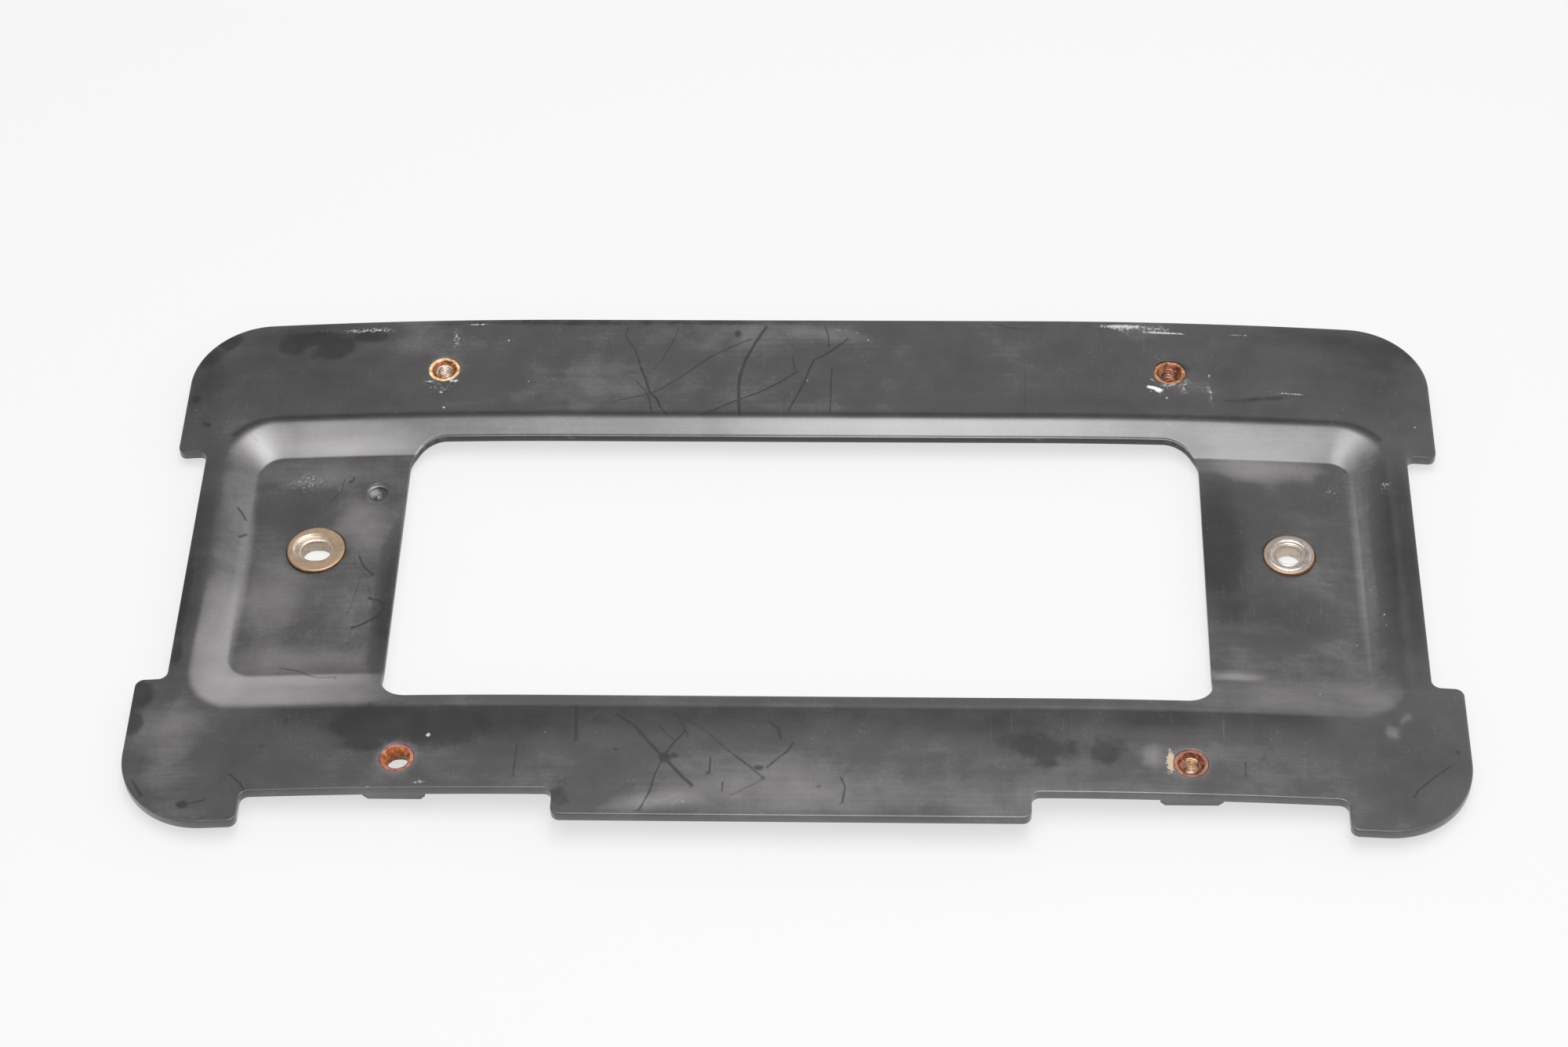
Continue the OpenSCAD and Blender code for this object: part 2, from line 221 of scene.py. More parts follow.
class BowedFace:
    """The bowed face of the plate with its pocket, as heights over X and Y in mm."""

    # Rounding of the pocket's mouth in mm, at the sides and at the long walls
    MOUTH_SIDE, MOUTH_LONG = 2.6, 1.7
    # Steepness at the mouth as a share of that at the foot, and the foot's fillet
    EASE_SIDE, EASE_LONG, FILLET = 0.6, 0.85, 0.06
    # How often the search for a point's share of the wall halves its range
    HALVINGS = 24

    def __init__(self, plate):
        self.plate = plate
        half_w, half_h = plate.body_w / 2, plate.body_h / 2
        self.mouth = (
            half_w - plate.rim_side,
            half_h - plate.rim_top,
            half_h - plate.rim_bottom,
            plate.mouth_r,
        )
        self.slopes = (
            plate.slope_side,
            plate.slope_top,
            plate.slope_bottom,
            plate.mouth_r - plate.floor_r,
        )
        floor_x = self.mouth[0] - plate.slope_side
        self.top = plate.pocket_d + plate.wall_t + float(self.bow(floor_x))

    def bow(self, x):
        """Drop of the face at a distance from the middle."""
        out = np.maximum(np.abs(x) - self.plate.flat_w / 2, 0)
        return self.plate.bow_r - np.sqrt(self.plate.bow_r**2 - out * out)

    def rim(self, x):
        """Height of the rim's face at a distance from the middle."""
        return self.top - self.bow(x)

    def ring(self, share):
        """Half width, reach up and down, and corner radius at a share of the wall."""
        return tuple(m - s * share for m, s in zip(self.mouth, self.slopes))

    def past_straights(self, x, y, share):
        """How far along X and Y a point lies past the ends of the ring's straight sides."""
        half_w, up, down, radius = self.ring(share)
        past_x = np.abs(x) - half_w + radius
        past_y = np.abs(y - (up - down) / 2) - (up + down) / 2 + radius
        return past_x, past_y, radius

    def ring_distance(self, x, y, share):
        """Signed distance to the ring at a share of the wall, positive outside."""
        past_x, past_y, radius = self.past_straights(x, y, share)
        outside = np.hypot(np.maximum(past_x, 0), np.maximum(past_y, 0))
        return outside + np.minimum(np.maximum(past_x, past_y), 0) - radius

    def share(self, x, y):
        """How far across the pocket's wall a point lies: 0 at the mouth, 1 at the floor."""
        low, high = np.zeros_like(x), np.ones_like(x)
        for _ in range(self.HALVINGS):
            mid = (low + high) / 2
            inside = self.ring_distance(x, y, mid) < 0
            low, high = np.where(inside, mid, low), np.where(inside, high, mid)
        return (low + high) / 2

    def sideways(self, x, y, share):
        """1 where the wall falls along X, 0 where it falls along Y."""
        past_x, past_y, _ = self.past_straights(x, y, share)
        square_x, square_y = np.maximum(past_x, 0) ** 2, np.maximum(past_y, 0) ** 2
        corner = square_x / np.maximum(square_x + square_y, 1e-9)
        return np.where((past_x > 0) & (past_y > 0), corner, (past_x > past_y).astype(float))

    def fall(self, share, side, up):
        """Depth of the wall as a share of the pocket's depth: rounded at the mouth,
        a little steeper towards the foot, and a small fillet at the floor."""
        across, above, below, _ = self.slopes
        width = across * side + np.where(up, above, below) * (1 - side)
        curve = (self.MOUTH_SIDE * side + self.MOUTH_LONG * (1 - side)) / width
        ease = self.EASE_SIDE * side + self.EASE_LONG * (1 - side)
        foot = 1 - self.FILLET
        steep = 2 / (ease * curve + (ease + 1) * (foot - curve) + self.FILLET)
        first = np.minimum(share, curve)
        then = np.clip(share - curve, 0, foot - curve)
        last = np.clip(share - foot, 0, self.FILLET)
        return steep * (
            ease * first**2 / (2 * curve)
            + ease * then
            + (1 - ease) * then**2 / (2 * (foot - curve))
            + last
            - last**2 / (2 * self.FILLET)
        )

    def height(self, x, y):
        """Height of the face over a point, in the pocket too."""
        x, y = np.asarray(x, float), np.asarray(y, float)
        share = self.share(x, y)
        return self.rim(x) - self.plate.pocket_d * self.fall(share, self.sideways(x, y, share), y > 0)


def rounded_path(corners, step=2.0, arc_step=0.5):
    """Points and right-hand normals of a closed path from corners (x, y, radius)."""
    points, normals = [], []
    count = len(corners)
    spots = [Vector(c[:2]) for c in corners]
    turns = [corner_turn(spots, i) for i in range(count)]
    reaches = [corner[2] * math.tan(abs(turn) / 2) for corner, turn in zip(corners, turns)]
    for i in range(count):
        before, here, after = spots[i - 1], spots[i], spots[(i + 1) % count]
        radius, turn, reach = corners[i][2], turns[i], reaches[i]
        into, out = (here - before).normalized(), (after - here).normalized()
        side = math.copysign(1.0, turn)
        centre = here - into * reach + Vector((-into.y, into.x)) * side * radius
        start = math.atan2(-into.x * side, into.y * side)
        steps = max(3, math.ceil(radius * abs(turn) / arc_step))
        for k in range(steps + 1):
            angle = start + turn * k / steps
            ray = Vector((math.cos(angle), math.sin(angle)))
            points.append(centre + ray * radius)
            normals.append(ray * side)
        leave, arrive = here + out * reach, after - out * reaches[(i + 1) % count]
        gap = (arrive - leave).length
        pieces = max(1, math.ceil(gap / step))
        for k in range(1, pieces):
            points.append(leave.lerp(arrive, k / pieces))
            normals.append(Vector((out.y, -out.x)))
    return np.array(points), np.array(normals)


def corner_turn(spots, i):
    """Angle that a closed path turns through at one of its corners."""
    into = (spots[i] - spots[i - 1]).normalized()
    out = (spots[(i + 1) % len(spots)] - spots[i]).normalized()
    return math.atan2(into.cross(out), into.dot(out))


def inside_path(path, x, y):
    """Which of the points lie inside a closed path."""
    inside = np.zeros(len(x), bool)
    x0, y0 = path[:, 0], path[:, 1]
    x1, y1 = np.roll(x0, -1), np.roll(y0, -1)
    for a, b, c, d in zip(x0, y0, x1, y1):
        if b != d:
            crosses = (b > y) != (d > y)
            inside ^= crosses & (x < (c - a) * (y - b) / (d - b) + a)
    return inside


def mesh_object(name, points, faces, material=None):
    """A mesh object at the origin from points in mm; its faces are smooth."""
    mesh = bpy.data.meshes.new(name)
    mesh.from_pydata([tuple(float(c) * MM for c in p) for p in points], [], faces)
    mesh.validate()
    mesh.polygons.foreach_set("use_smooth", [True] * len(mesh.polygons))
    if material:
        mesh.materials.append(material)
    piece = bpy.data.objects.new(name, mesh)
    bpy.context.scene.collection.objects.link(piece)
    return piece


def ring_band(count, a, b):
    """Faces between two rings of a count of points, from where each ring starts."""
    return [(a + i, a + (i + 1) % count, b + (i + 1) % count, b + i) for i in range(count)]


def tube(name, rings, material=None):
    """A closed shell through rings of equal length, from the last back to the first."""
    count, points = len(rings[0]), [p for ring in rings for p in ring]
    faces = []
    for k in range(len(rings)):
        faces += ring_band(count, k * count, (k + 1) % len(rings) * count)
    return mesh_object(name, points, faces, material)


def capped(name, rings):
    """A closed solid through rings, with a flat cap at each end."""
    count, points = len(rings[0]), [p for ring in rings for p in ring]
    faces = [tuple(range(count))[::-1], tuple(range(len(points) - count, len(points)))]
    for k in range(len(rings) - 1):
        faces += ring_band(count, k * count, (k + 1) * count)
    return mesh_object(name, points, faces)


def face_outwards(mesh):
    """Turns every face of a closed mesh outwards."""
    work = bmesh.new()
    work.from_mesh(mesh)
    bmesh.ops.recalc_face_normals(work, faces=work.faces)
    if work.calc_volume(signed=True) < 0:
        bmesh.ops.reverse_faces(work, faces=work.faces)
    work.to_mesh(mesh)
    work.free()


def evaluated_mesh(piece):
    """The piece's mesh with its modifiers applied, as a plain mesh."""
    graph = bpy.context.evaluated_depsgraph_get()
    return bpy.data.meshes.new_from_object(piece.evaluated_get(graph))


def carve(piece, tool, operation):
    """Joins a tool to a piece or cuts it out of it, and removes the tool."""
    face_outwards(tool.data)
    change = piece.modifiers.new("carve", "BOOLEAN")
    change.solver, change.operation, change.object = "MANIFOLD", operation, tool
    bpy.context.view_layer.update()
    made = evaluated_mesh(piece)
    piece.modifiers.clear()
    old, piece.data = piece.data, made
    bpy.data.meshes.remove(old)
    bpy.data.meshes.remove(tool.data)


def tidy_mesh(mesh, sharp_degrees):
    """Joins points that coincide, drops folded faces, and smooths the surface
    except where it turns by more than an angle."""
    work = bmesh.new()
    work.from_mesh(mesh)
    bmesh.ops.remove_doubles(work, verts=work.verts, dist=JOIN_WITHIN * MM)
    bmesh.ops.dissolve_degenerate(work, edges=work.edges, dist=JOIN_WITHIN / 3 * MM)
    bmesh.ops.triangulate(work, faces=[f for f in work.faces if len(f.verts) > 4])
    same_corners = {}
    for face in work.faces:
        same_corners.setdefault(frozenset(face.verts), []).append(face)
    folded = [face for faces in same_corners.values() if len(faces) > 1 for face in faces]
    bmesh.ops.delete(work, geom=folded, context="FACES")
    limit = math.radians(sharp_degrees)
    for face in work.faces:
        face.smooth = True
    for edge in work.edges:
        edge.smooth = len(edge.link_faces) == 2 and edge.calc_face_angle(0) < limit
    work.to_mesh(mesh)
    work.free()


def seat_piece(piece, node):
    """Puts a finished piece in the place of a solid."""
    if not piece.data.polygons:
        raise RuntimeError(f"{piece.name} came out empty")
    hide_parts(node)
    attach(piece, "root")


# Node helpers


class Value:
    """A socket of a node, with Python's operators as its Math nodes."""

    def __init__(self, nodes, socket):
        self.nodes, self.socket = nodes, socket

    def math(self, operation, *values):
        """A Math node on values or other sockets."""
        return self.nodes.node("ShaderNodeMath", {"operation": operation}, values)

    def __add__(self, other):
        return self.math("ADD", self, other)

    def __radd__(self, other):
        return self.math("ADD", other, self)

    def __sub__(self, other):
        return self.math("SUBTRACT", self, other)

    def __rsub__(self, other):
        return self.math("SUBTRACT", other, self)

    def __mul__(self, other):
        return self.math("MULTIPLY", self, other)

    def __rmul__(self, other):
        return self.math("MULTIPLY", other, self)


class Nodes:
    """Adds nodes to a tree and wires them."""

    def __init__(self, tree):
        self.tree = tree

    def node(self, kind, settings, inputs, output=0):
        """Adds a node: its settings first, then the values or links of its sockets."""
        made = self.tree.nodes.new(kind)
        for key, value in settings.items():
            setattr(made, key, value)
        pairs = inputs.items() if isinstance(inputs, dict) else enumerate(inputs)
        for key, value in pairs:
            self.feed(made.inputs[key], value)
        return Value(self, made.outputs[output])

    def feed(self, socket, value):
        """Links a value to a socket, or sets the socket where it is a plain number or colour."""
        if isinstance(value, Value):
            self.tree.links.new(value.socket, socket)
        elif isinstance(value, (tuple, list)) and len(value) == 3 and socket.type == "RGBA":
            socket.default_value = (*value, 1.0)
        else:
            socket.default_value = value

    def step(self, value, low, high, start=0.0, end=1.0):
        """Smooth change from start at low to end at high."""
        return self.node(
            "ShaderNodeMapRange",
            {"interpolation_type": "SMOOTHSTEP"},
            {"Value": value, 1: low, 2: high, 3: start, 4: end},
        )

    def line(self, value, low, high, start=0.0, end=1.0):
        """Straight change from start at low to end at high."""
        return self.node("ShaderNodeMapRange", {}, {"Value": value, 1: low, 2: high, 3: start, 4: end})


class Shader(Nodes):
    """One node-based finish, fed to the surface of its material."""

    def __init__(self, name):
        self.material = bpy.data.materials.new(name)
        self.material.use_nodes = True
        super().__init__(self.material.node_tree)
        self.surface = self.tree.nodes["Principled BSDF"]
        self.place = self.node("ShaderNodeTexCoord", {}, {}, "Object")

    def noise(self, scale, detail, roughness, stretch=None, distortion=0.0):
        """Noise round 0.5 with a scale in features per metre."""
        place = self.place
        if stretch:
            place = self.node("ShaderNodeMapping", {}, {"Vector": place, "Scale": stretch})
        inputs = {"Vector": place, "Scale": scale, "Detail": detail}
        inputs.update({"Roughness": roughness, "Distortion": distortion})
        return self.node("ShaderNodeTexNoise", {}, inputs)

    def blend(self, factor, first, second):
        """Colour that goes from the first to the second with the factor."""
        return self.node("ShaderNodeMix", {"data_type": "RGBA"}, {0: factor, 6: first, 7: second}, 2)

    def ramp(self, factor, stops):
        """Colour ramp with stops (position, colour)."""
        made = self.tree.nodes.new("ShaderNodeValToRGB")
        ramp = made.color_ramp
        while len(ramp.elements) < len(stops):
            ramp.elements.new(0.5)
        for element, (position, rgb) in zip(ramp.elements, stops):
            element.position, element.color = position, (*rgb, 1.0)
        self.feed(made.inputs[0], factor)
        return Value(self, made.outputs[0])

    def attribute(self, name, channel):
        """One channel of a painted attribute of the piece."""
        if channel == "Alpha":
            return self.node("ShaderNodeAttribute", {"attribute_name": name}, {}, channel)
        whole = self.node("ShaderNodeAttribute", {"attribute_name": name}, {}, "Color")
        return self.node("ShaderNodeSeparateColor", {}, [whole], channel)

    def axis(self, channel):
        """One coordinate of the place on the piece, in metres."""
        return self.node("ShaderNodeSeparateXYZ", {}, [self.place], channel)

    def distance(self, spot):
        """Distance from a spot on the piece, in metres."""
        return self.node("ShaderNodeVectorMath", {"operation": "DISTANCE"}, [self.place, spot], "Value")

    def bump(self, height, distance, strength):
        """Fine relief with a depth in metres."""
        inputs = {"Height": height, "Distance": distance, "Strength": strength}
        return self.node("ShaderNodeBump", {}, inputs)

    def finish(self, **sockets):
        """Feeds the surface; underscores in names stand for spaces."""
        for name, value in sockets.items():
            self.feed(self.surface.inputs[name.replace("_", " ")], value)
        return self.material


# The plate


def plate_corners(plate):
    """Corners of the outline, anticlockwise from the lower right ear."""
    w, h, r = plate.body_w / 2, plate.body_h / 2, plate.small_r
    waist, step = plate.waist_w / 2, plate.waist_h / 2
    gap, tab = plate.ear_gap / 2, plate.tab_w / 2
    tab_y = -h + plate.tab_rise
    notch_y = tab_y + plate.notch_d
    right = [
        (tab, tab_y, r),
        (tab, notch_y, r),
        (gap, notch_y, r),
        (gap, -h, r),
        (w, -h, plate.lower_r),
        (w, -step, r),
        (waist, -step, r),
        (waist, step, r),
        (w, step, r),
        (w, h, plate.upper_r),
    ]
    return right + [(-x, y, radius) for x, y, radius in reversed(right)]


def window_corners(plate):
    """Corners of the window, clockwise."""
    w = plate.window_w / 2
    top, bottom = plate.body_h / 2 - plate.window_top, plate.window_bottom - plate.body_h / 2
    return [
        (w, top, plate.window_top_r),
        (w, bottom, plate.window_bottom_r),
        (-w, bottom, plate.window_bottom_r),
        (-w, top, plate.window_top_r),
    ]


# Marks on the face, in mm. Strokes are (half width, strength, points), and each is
# drawn a little wider than its half width says.
STROKE_GROW = 1.25
STROKES = [
    (0.30, 0.35, [(-50.5, 74.5), (-49, 70.5), (-47.8, 65)]),
    (0.35, 0.6, [(-44.3, 74.5), (-44.8, 72.3), (-44.5, 70.5), (-42.5, 67.5), (-41.3, 64), (-40.5, 61)]),
    (
        0.40,
        0.9,
        [(-40.5, 61), (-39.7, 58.5), (-38.8, 55.5), (-37.8, 52), (-36.2, 50.5), (-35, 47.5), (-33.2, 44.8)],
    ),
    (0.25, 0.35, [(-41.3, 71.5), (-41.9, 66.5)]),
    (0.30, 0.5, [(-38.9, 58.2), (-38.3, 56), (-38, 53)]),
    (0.35, 0.7, [(-41.3, 56), (-39.3, 53.5), (-38, 50.5), (-37.3, 47), (-36.8, 45.5)]),
    (0.30, 0.55, [(-31.7, 74.5), (-32.5, 71), (-34.2, 66.5), (-35.5, 63), (-37, 60.5)]),
    (0.35, 0.65, [(-46, 49.5), (-40, 51.2), (-36, 52.8), (-30, 58), (-24, 64), (-19, 67.5), (-14, 70.5)]),
    (
        0.50,
        1.0,
        [(-10, 75), (-12.5, 69.5), (-14.8, 63.5), (-15.8, 59), (-16.2, 55), (-16, 49), (-15.6, 44.8)],
    ),
    (0.35, 0.7, [(4.5, 75), (5.3, 72), (5.5, 68.5)]),
    (0.40, 0.8, [(10, 70.5), (5, 65.5), (2, 63.5), (0.8, 60), (0, 56.5), (-1.5, 52.5), (-3.8, 46.5)]),
    (0.30, 0.6, [(-3.2, 64), (-2.7, 60.5)]),
    (0.40, 0.75, [(-2, 59.5), (-6, 56), (-11, 52.5), (-17, 49.5), (-22, 46.5), (-25, 44.8)]),
    (0.30, 0.35, [(-1, 56), (-5, 50.5)]),
    (0.35, 0.65, [(6.5, 60), (6.3, 56), (6.4, 50), (6.2, 45.5)]),
    (0.30, 0.35, [(-19, 51), (-16.5, 58)]),
    (0.30, 0.6, [(46, 76), (50, 74.8), (54, 74.3)]),
    (0.22, 0.4, [(53.5, 48), (53.5, 76)]),
    (0.30, 0.35, [(-111.5, 47), (-111.5, 58)]),
    (0.35, 0.6, [(102, 51), (110, 52.5), (119, 54)]),
    (0.35, 0.8, [(-135, 18.2), (-133, 15.3)]),
    (0.35, 0.7, [(-132.3, 11), (-133.5, 9.7)]),
    (0.40, 0.9, [(-104.5, 3.4), (-103.4, 0.6), (-102.2, -1.0), (-100.6, -2.5)]),
    (0.30, 0.5, [(-103.4, -3), (-103.9, -6.5), (-104.3, -9)]),
    (0.30, 0.5, [(-104.6, -10.5), (-105.2, -14)]),
    (
        0.42,
        1.0,
        [(-100.5, -10), (-98, -10.8), (-96.9, -13), (-98.2, -15.5), (-101, -17.5), (-103.5, -18.8)],
    ),
    (0.30, 0.5, [(-101.5, -6), (-100, -10), (-99.5, -13)]),
    (0.25, 0.6, [(-110.6, 28), (-111, 24.5), (-113, 21)]),
    (0.30, 0.8, [(-108.3, 28.7), (-108.7, 27.3)]),
    (0.40, 1.0, [(-135.3, 18.2), (-134.2, 17), (-133.2, 15.4)]),
    (0.40, 1.0, [(-132.6, 11), (-133.8, 9.6)]),
    (0.25, 0.5, [(-136, 42), (-133.5, 39.5)]),
    (0.35, 0.6, [(-119.5, -30.5), (-115, -31.5), (-112.5, -33), (-110, -34), (-106, -34)]),
    (0.30, 0.3, [(-104, -26), (-102, -29.5)]),
    (0.40, 0.8, [(-126, -64.5), (-123.5, -67), (-122.5, -69)]),
    (0.50, 0.6, [(-148.5, -65), (-146, -69)]),
    (0.45, 0.7, [(-134, -72), (-131.5, -71.3)]),
    (0.35, 0.6, [(-134.5, -76.3), (-131, -76.3)]),
    (0.35, 0.6, [(-62, -57), (-62.2, -65.5)]),
    (0.75, 0.7, [(-49.2, -46), (-48.8, -55)]),
    (0.65, 0.7, [(-40, -48), (-36, -51), (-31, -57.5), (-28, -61)]),
    (0.65, 0.85, [(-28, -61), (-24, -66), (-22, -68)]),
    (0.40, 0.75, [(-24.5, -53), (-27, -56.5), (-29, -60.5), (-30.5, -65), (-31.5, -70), (-33.5, -75)]),
    (0.35, 0.6, [(-30, -51.5), (-27, -55)]),
    (0.35, 0.6, [(-26, -48.5), (-23.5, -54)]),
    (1.0, 0.42, [(-28, -47), (-20, -52), (-15, -57.5)]),
    (0.45, 0.65, [(-15, -57.5), (-9.5, -62.5), (-6.5, -65.5)]),
    (0.45, 0.7, [(0, -56), (-1, -58), (-3.4, -60.4), (-5.5, -62.8)]),
    (0.6, 0.45, [(-6, -66), (-13, -70.5)]),
    (0.55, 0.7, [(-5.2, -50), (-3.4, -51.6), (-2.7, -54.3)]),
    (0.40, 0.8, [(-18.3, -60.5), (-18.3, -64.5)]),
    (0.40, 0.7, [(-15.3, -67), (-15.3, -69.5)]),
    (0.40, 0.7, [(11, -65.5), (12, -68), (11.5, -72)]),
    (0.35, 0.6, [(101, -60), (101, -63)]),
    (0.35, 0.7, [(146.5, -58.5), (143.5, -61), (141, -63.5), (139, -65.5), (138.2, -67)]),
]
# Stains and scuffs are (x, y, half length, half height, turn in degrees, strength)
STAINS = [
    (-148, 67, 4, 3, 50, 0.9),
    (-143.5, 72, 4, 3, 30, 1.0),
    (-127, 70.5, 5, 4.5, 0, 1.1),
    (-117, 68.5, 6.5, 4.5, 15, 1.1),
    (-121, 72, 8, 3, 0, 1.1),
    (-108, 72.3, 6, 2.6, 0, 0.9),
    (-150, 53, 1.4, 1.5, 0, 1.0),
    (-146, 44.3, 1.6, 0.8, -30, 0.9),
    (-60, 76, 40, 1.4, 0, 0.6),
    (-17, 72.4, 1.1, 1.8, 0, 0.7),
    (-25, 76.2, 36, 1.2, 0, 0.6),
    (112, 52.3, 12, 1.3, 7, 0.7),
    # The next three darken a ring round the left sleeve, the right sleeve and the upper right insert; round
    # the insert it is painted shade in the gap of its sunk seat
    (-114.8, 5.2, 8.3, 8.0, 0, 1.0),
    (115.1, 5.3, 7.2, 7.0, 0, 0.9),
    (89.15, 60.65, 4.55, 4.35, 0, 1.0),
    (-94, -50.5, 14, 6.5, 0, 1.15),
    (-80, -51.6, 13, 7, 0, 1.0),
    (-64, -50.5, 13, 4.2, 0, 0.42),
    (-97, -56, 7, 3, 0, 0.9),
    (-115.2, -49.5, 0.9, 2.2, 0, 0.5),
    (-120, -56.3, 1.2, 1, 0, 0.5),
    (-136, -72.3, 1.8, 1.3, 0, 1.1),
    (-151, -40, 4.5, 5.5, 0, 1.2),
    (-150.5, -48, 2.5, 5, 0, 1.0),
    (-144, -10, 1.6, 16, 0, 0.85),
    (-143.5, -28, 1.6, 6, 0, 0.85),
    (-44, -50, 7, 2.4, 0, 0.45),
    (-28.6, -60.3, 1.7, 1.9, 30, 0.95),
    (-26.4, -59.6, 1.4, 1.0, -20, 0.7),
    (-7.5, -63, 1.5, 1.0, 0, 0.85),
    (-39.5, -58, 1.3, 0.8, -15, 0.6),
    (6, -68, 1.2, 0.8, 30, 0.55),
    (-51.5, -70, 3, 6, 0, 0.6),
    (55, -56.5, 11, 5.5, -8, 0.9),
    (57, -61, 5, 2.5, 0, 0.8),
    (70, -57.5, 6, 5.5, 0, 0.8),
    (149, -54, 1.0, 1.0, 0, 0.7),
    (148, 70, 5, 7, 45, 0.5),
]
SCUFFS_AND_HIGHLIGHTS = [
    (-109, 74.3, 12, 1.4, 0, 0.66),
    (-121, 74.8, 4, 0.9, 0, 0.6),
    (-82, 75.6, 5.5, 0.5, 0, 0.8),
    (-86.7, 71, 2, 6, 0, 0.6),
    (-89, 54.3, 6.5, 3.6, 0, 0.52),
    (-86.2, 56.4, 1.8, 0.8, 0, 1.0),
    (-92, 56.3, 2.4, 0.5, 0, 0.8),
    (-89, 52.6, 0.5, 0.5, 0, 1.0),
    (-90, 63, 7, 6, 0, 0.35),
    (-87.9, 47.4, 0.5, 0.45, 0, 1.0),
    (-73.7, 69.9, 0.45, 0.4, 0, 0.8),
    (-67.7, 56, 0.4, 0.35, 0, 0.75),
    (0, 72.5, 11, 2.2, 0, 0.4),
    (0.6, 56.5, 0.4, 0.35, 0, 0.8),
    (15.2, 70.3, 0.45, 0.35, 0, 0.8),
    (12.5, 72.8, 0.4, 0.35, 0, 0.7),
    (4, 75.9, 4, 0.6, -4, 0.52),
    (9, 73.6, 5, 0.7, -12, 0.5),
    (84, 74.7, 18, 2.4, 0, 0.52),
    (78, 75.6, 9, 0.9, 0, 1.0),
    (88, 73.6, 8, 0.4, -2, 1.0),
    (106, 73.6, 6, 0.45, 0, 0.65),
    (86.7, 65, 3.4, 3.2, 0, 0.4),
    (84.5, 55.0, 1.8, 0.62, -12, 1.6),
    (85.9, 54.3, 1.5, 0.85, -24, 1.6),
    (87.9, 51.6, 0.4, 0.4, 0, 1.0),
    (85.5, 54, 5, 4.4, 0, 0.5),
    (92, 55, 1.4, 3.2, 15, 0.65),
    (98.6, 53, 0.7, 8, 0, 0.6),
    (98.5, 59.3, 0.5, 1.0, 0, 1.0),
    (96.6, 55, 0.4, 4, -14, 0.5),
    (118.5, 54.3, 7.5, 0.4, -3, 0.7),
    (143, 56, 8, 12, 0, 0.35),
    (141.5, 61.5, 0.45, 0.45, 0, 0.8),
    (147.5, 45.3, 0.5, 0.4, 0, 0.8),
    (130.5, 50, 0.4, 0.4, 0, 0.75),
    (-111.5, 24.5, 1, 4, 15, 0.5),
    (-119, 27, 9, 6, 0, 0.46),
    (-124, 34, 7, 2, 0, 0.45),
    (-82.3, -54, 0.9, 0.75, 0, 1.1),
    # The next two are painted highlights on the bumps at the lower edge, over the left block
    (-83.3, -67.3, 3.2, 0.9, 6, 0.62),
    (-94, -68.5, 0.9, 0.6, 0, 0.6),
    (-25, -72.5, 15, 2.4, 0, 0.4),
    (86.6, -60, 7, 7, 0, 0.3),
    (84.4, -59.8, 1.1, 4.2, 0, 1.3),
    (88.8, 55.9, 5.2, 1.3, 0, 0.66),
    (93, 57.2, 1.3, 2.2, -35, 0.62),
    (84.8, 57.4, 1.0, 1.8, 25, 0.58),
    (133.4, -4.8, 0.4, 0.4, 0, 0.85),
    (135.8, -13.2, 0.4, 0.4, 0, 0.85),
    (136, -16.5, 0.35, 0.35, 0, 0.75),
    (129, -21, 0.4, 0.4, 0, 0.8),
    (119.3, -37.3, 0.4, 0.4, 0, 0.8),
    (127, 27, 5, 6, 0, 0.44),
    (139, 26, 3, 3, 0, 0.52),
    (123, -2, 4, 3, 0, 0.42),
]
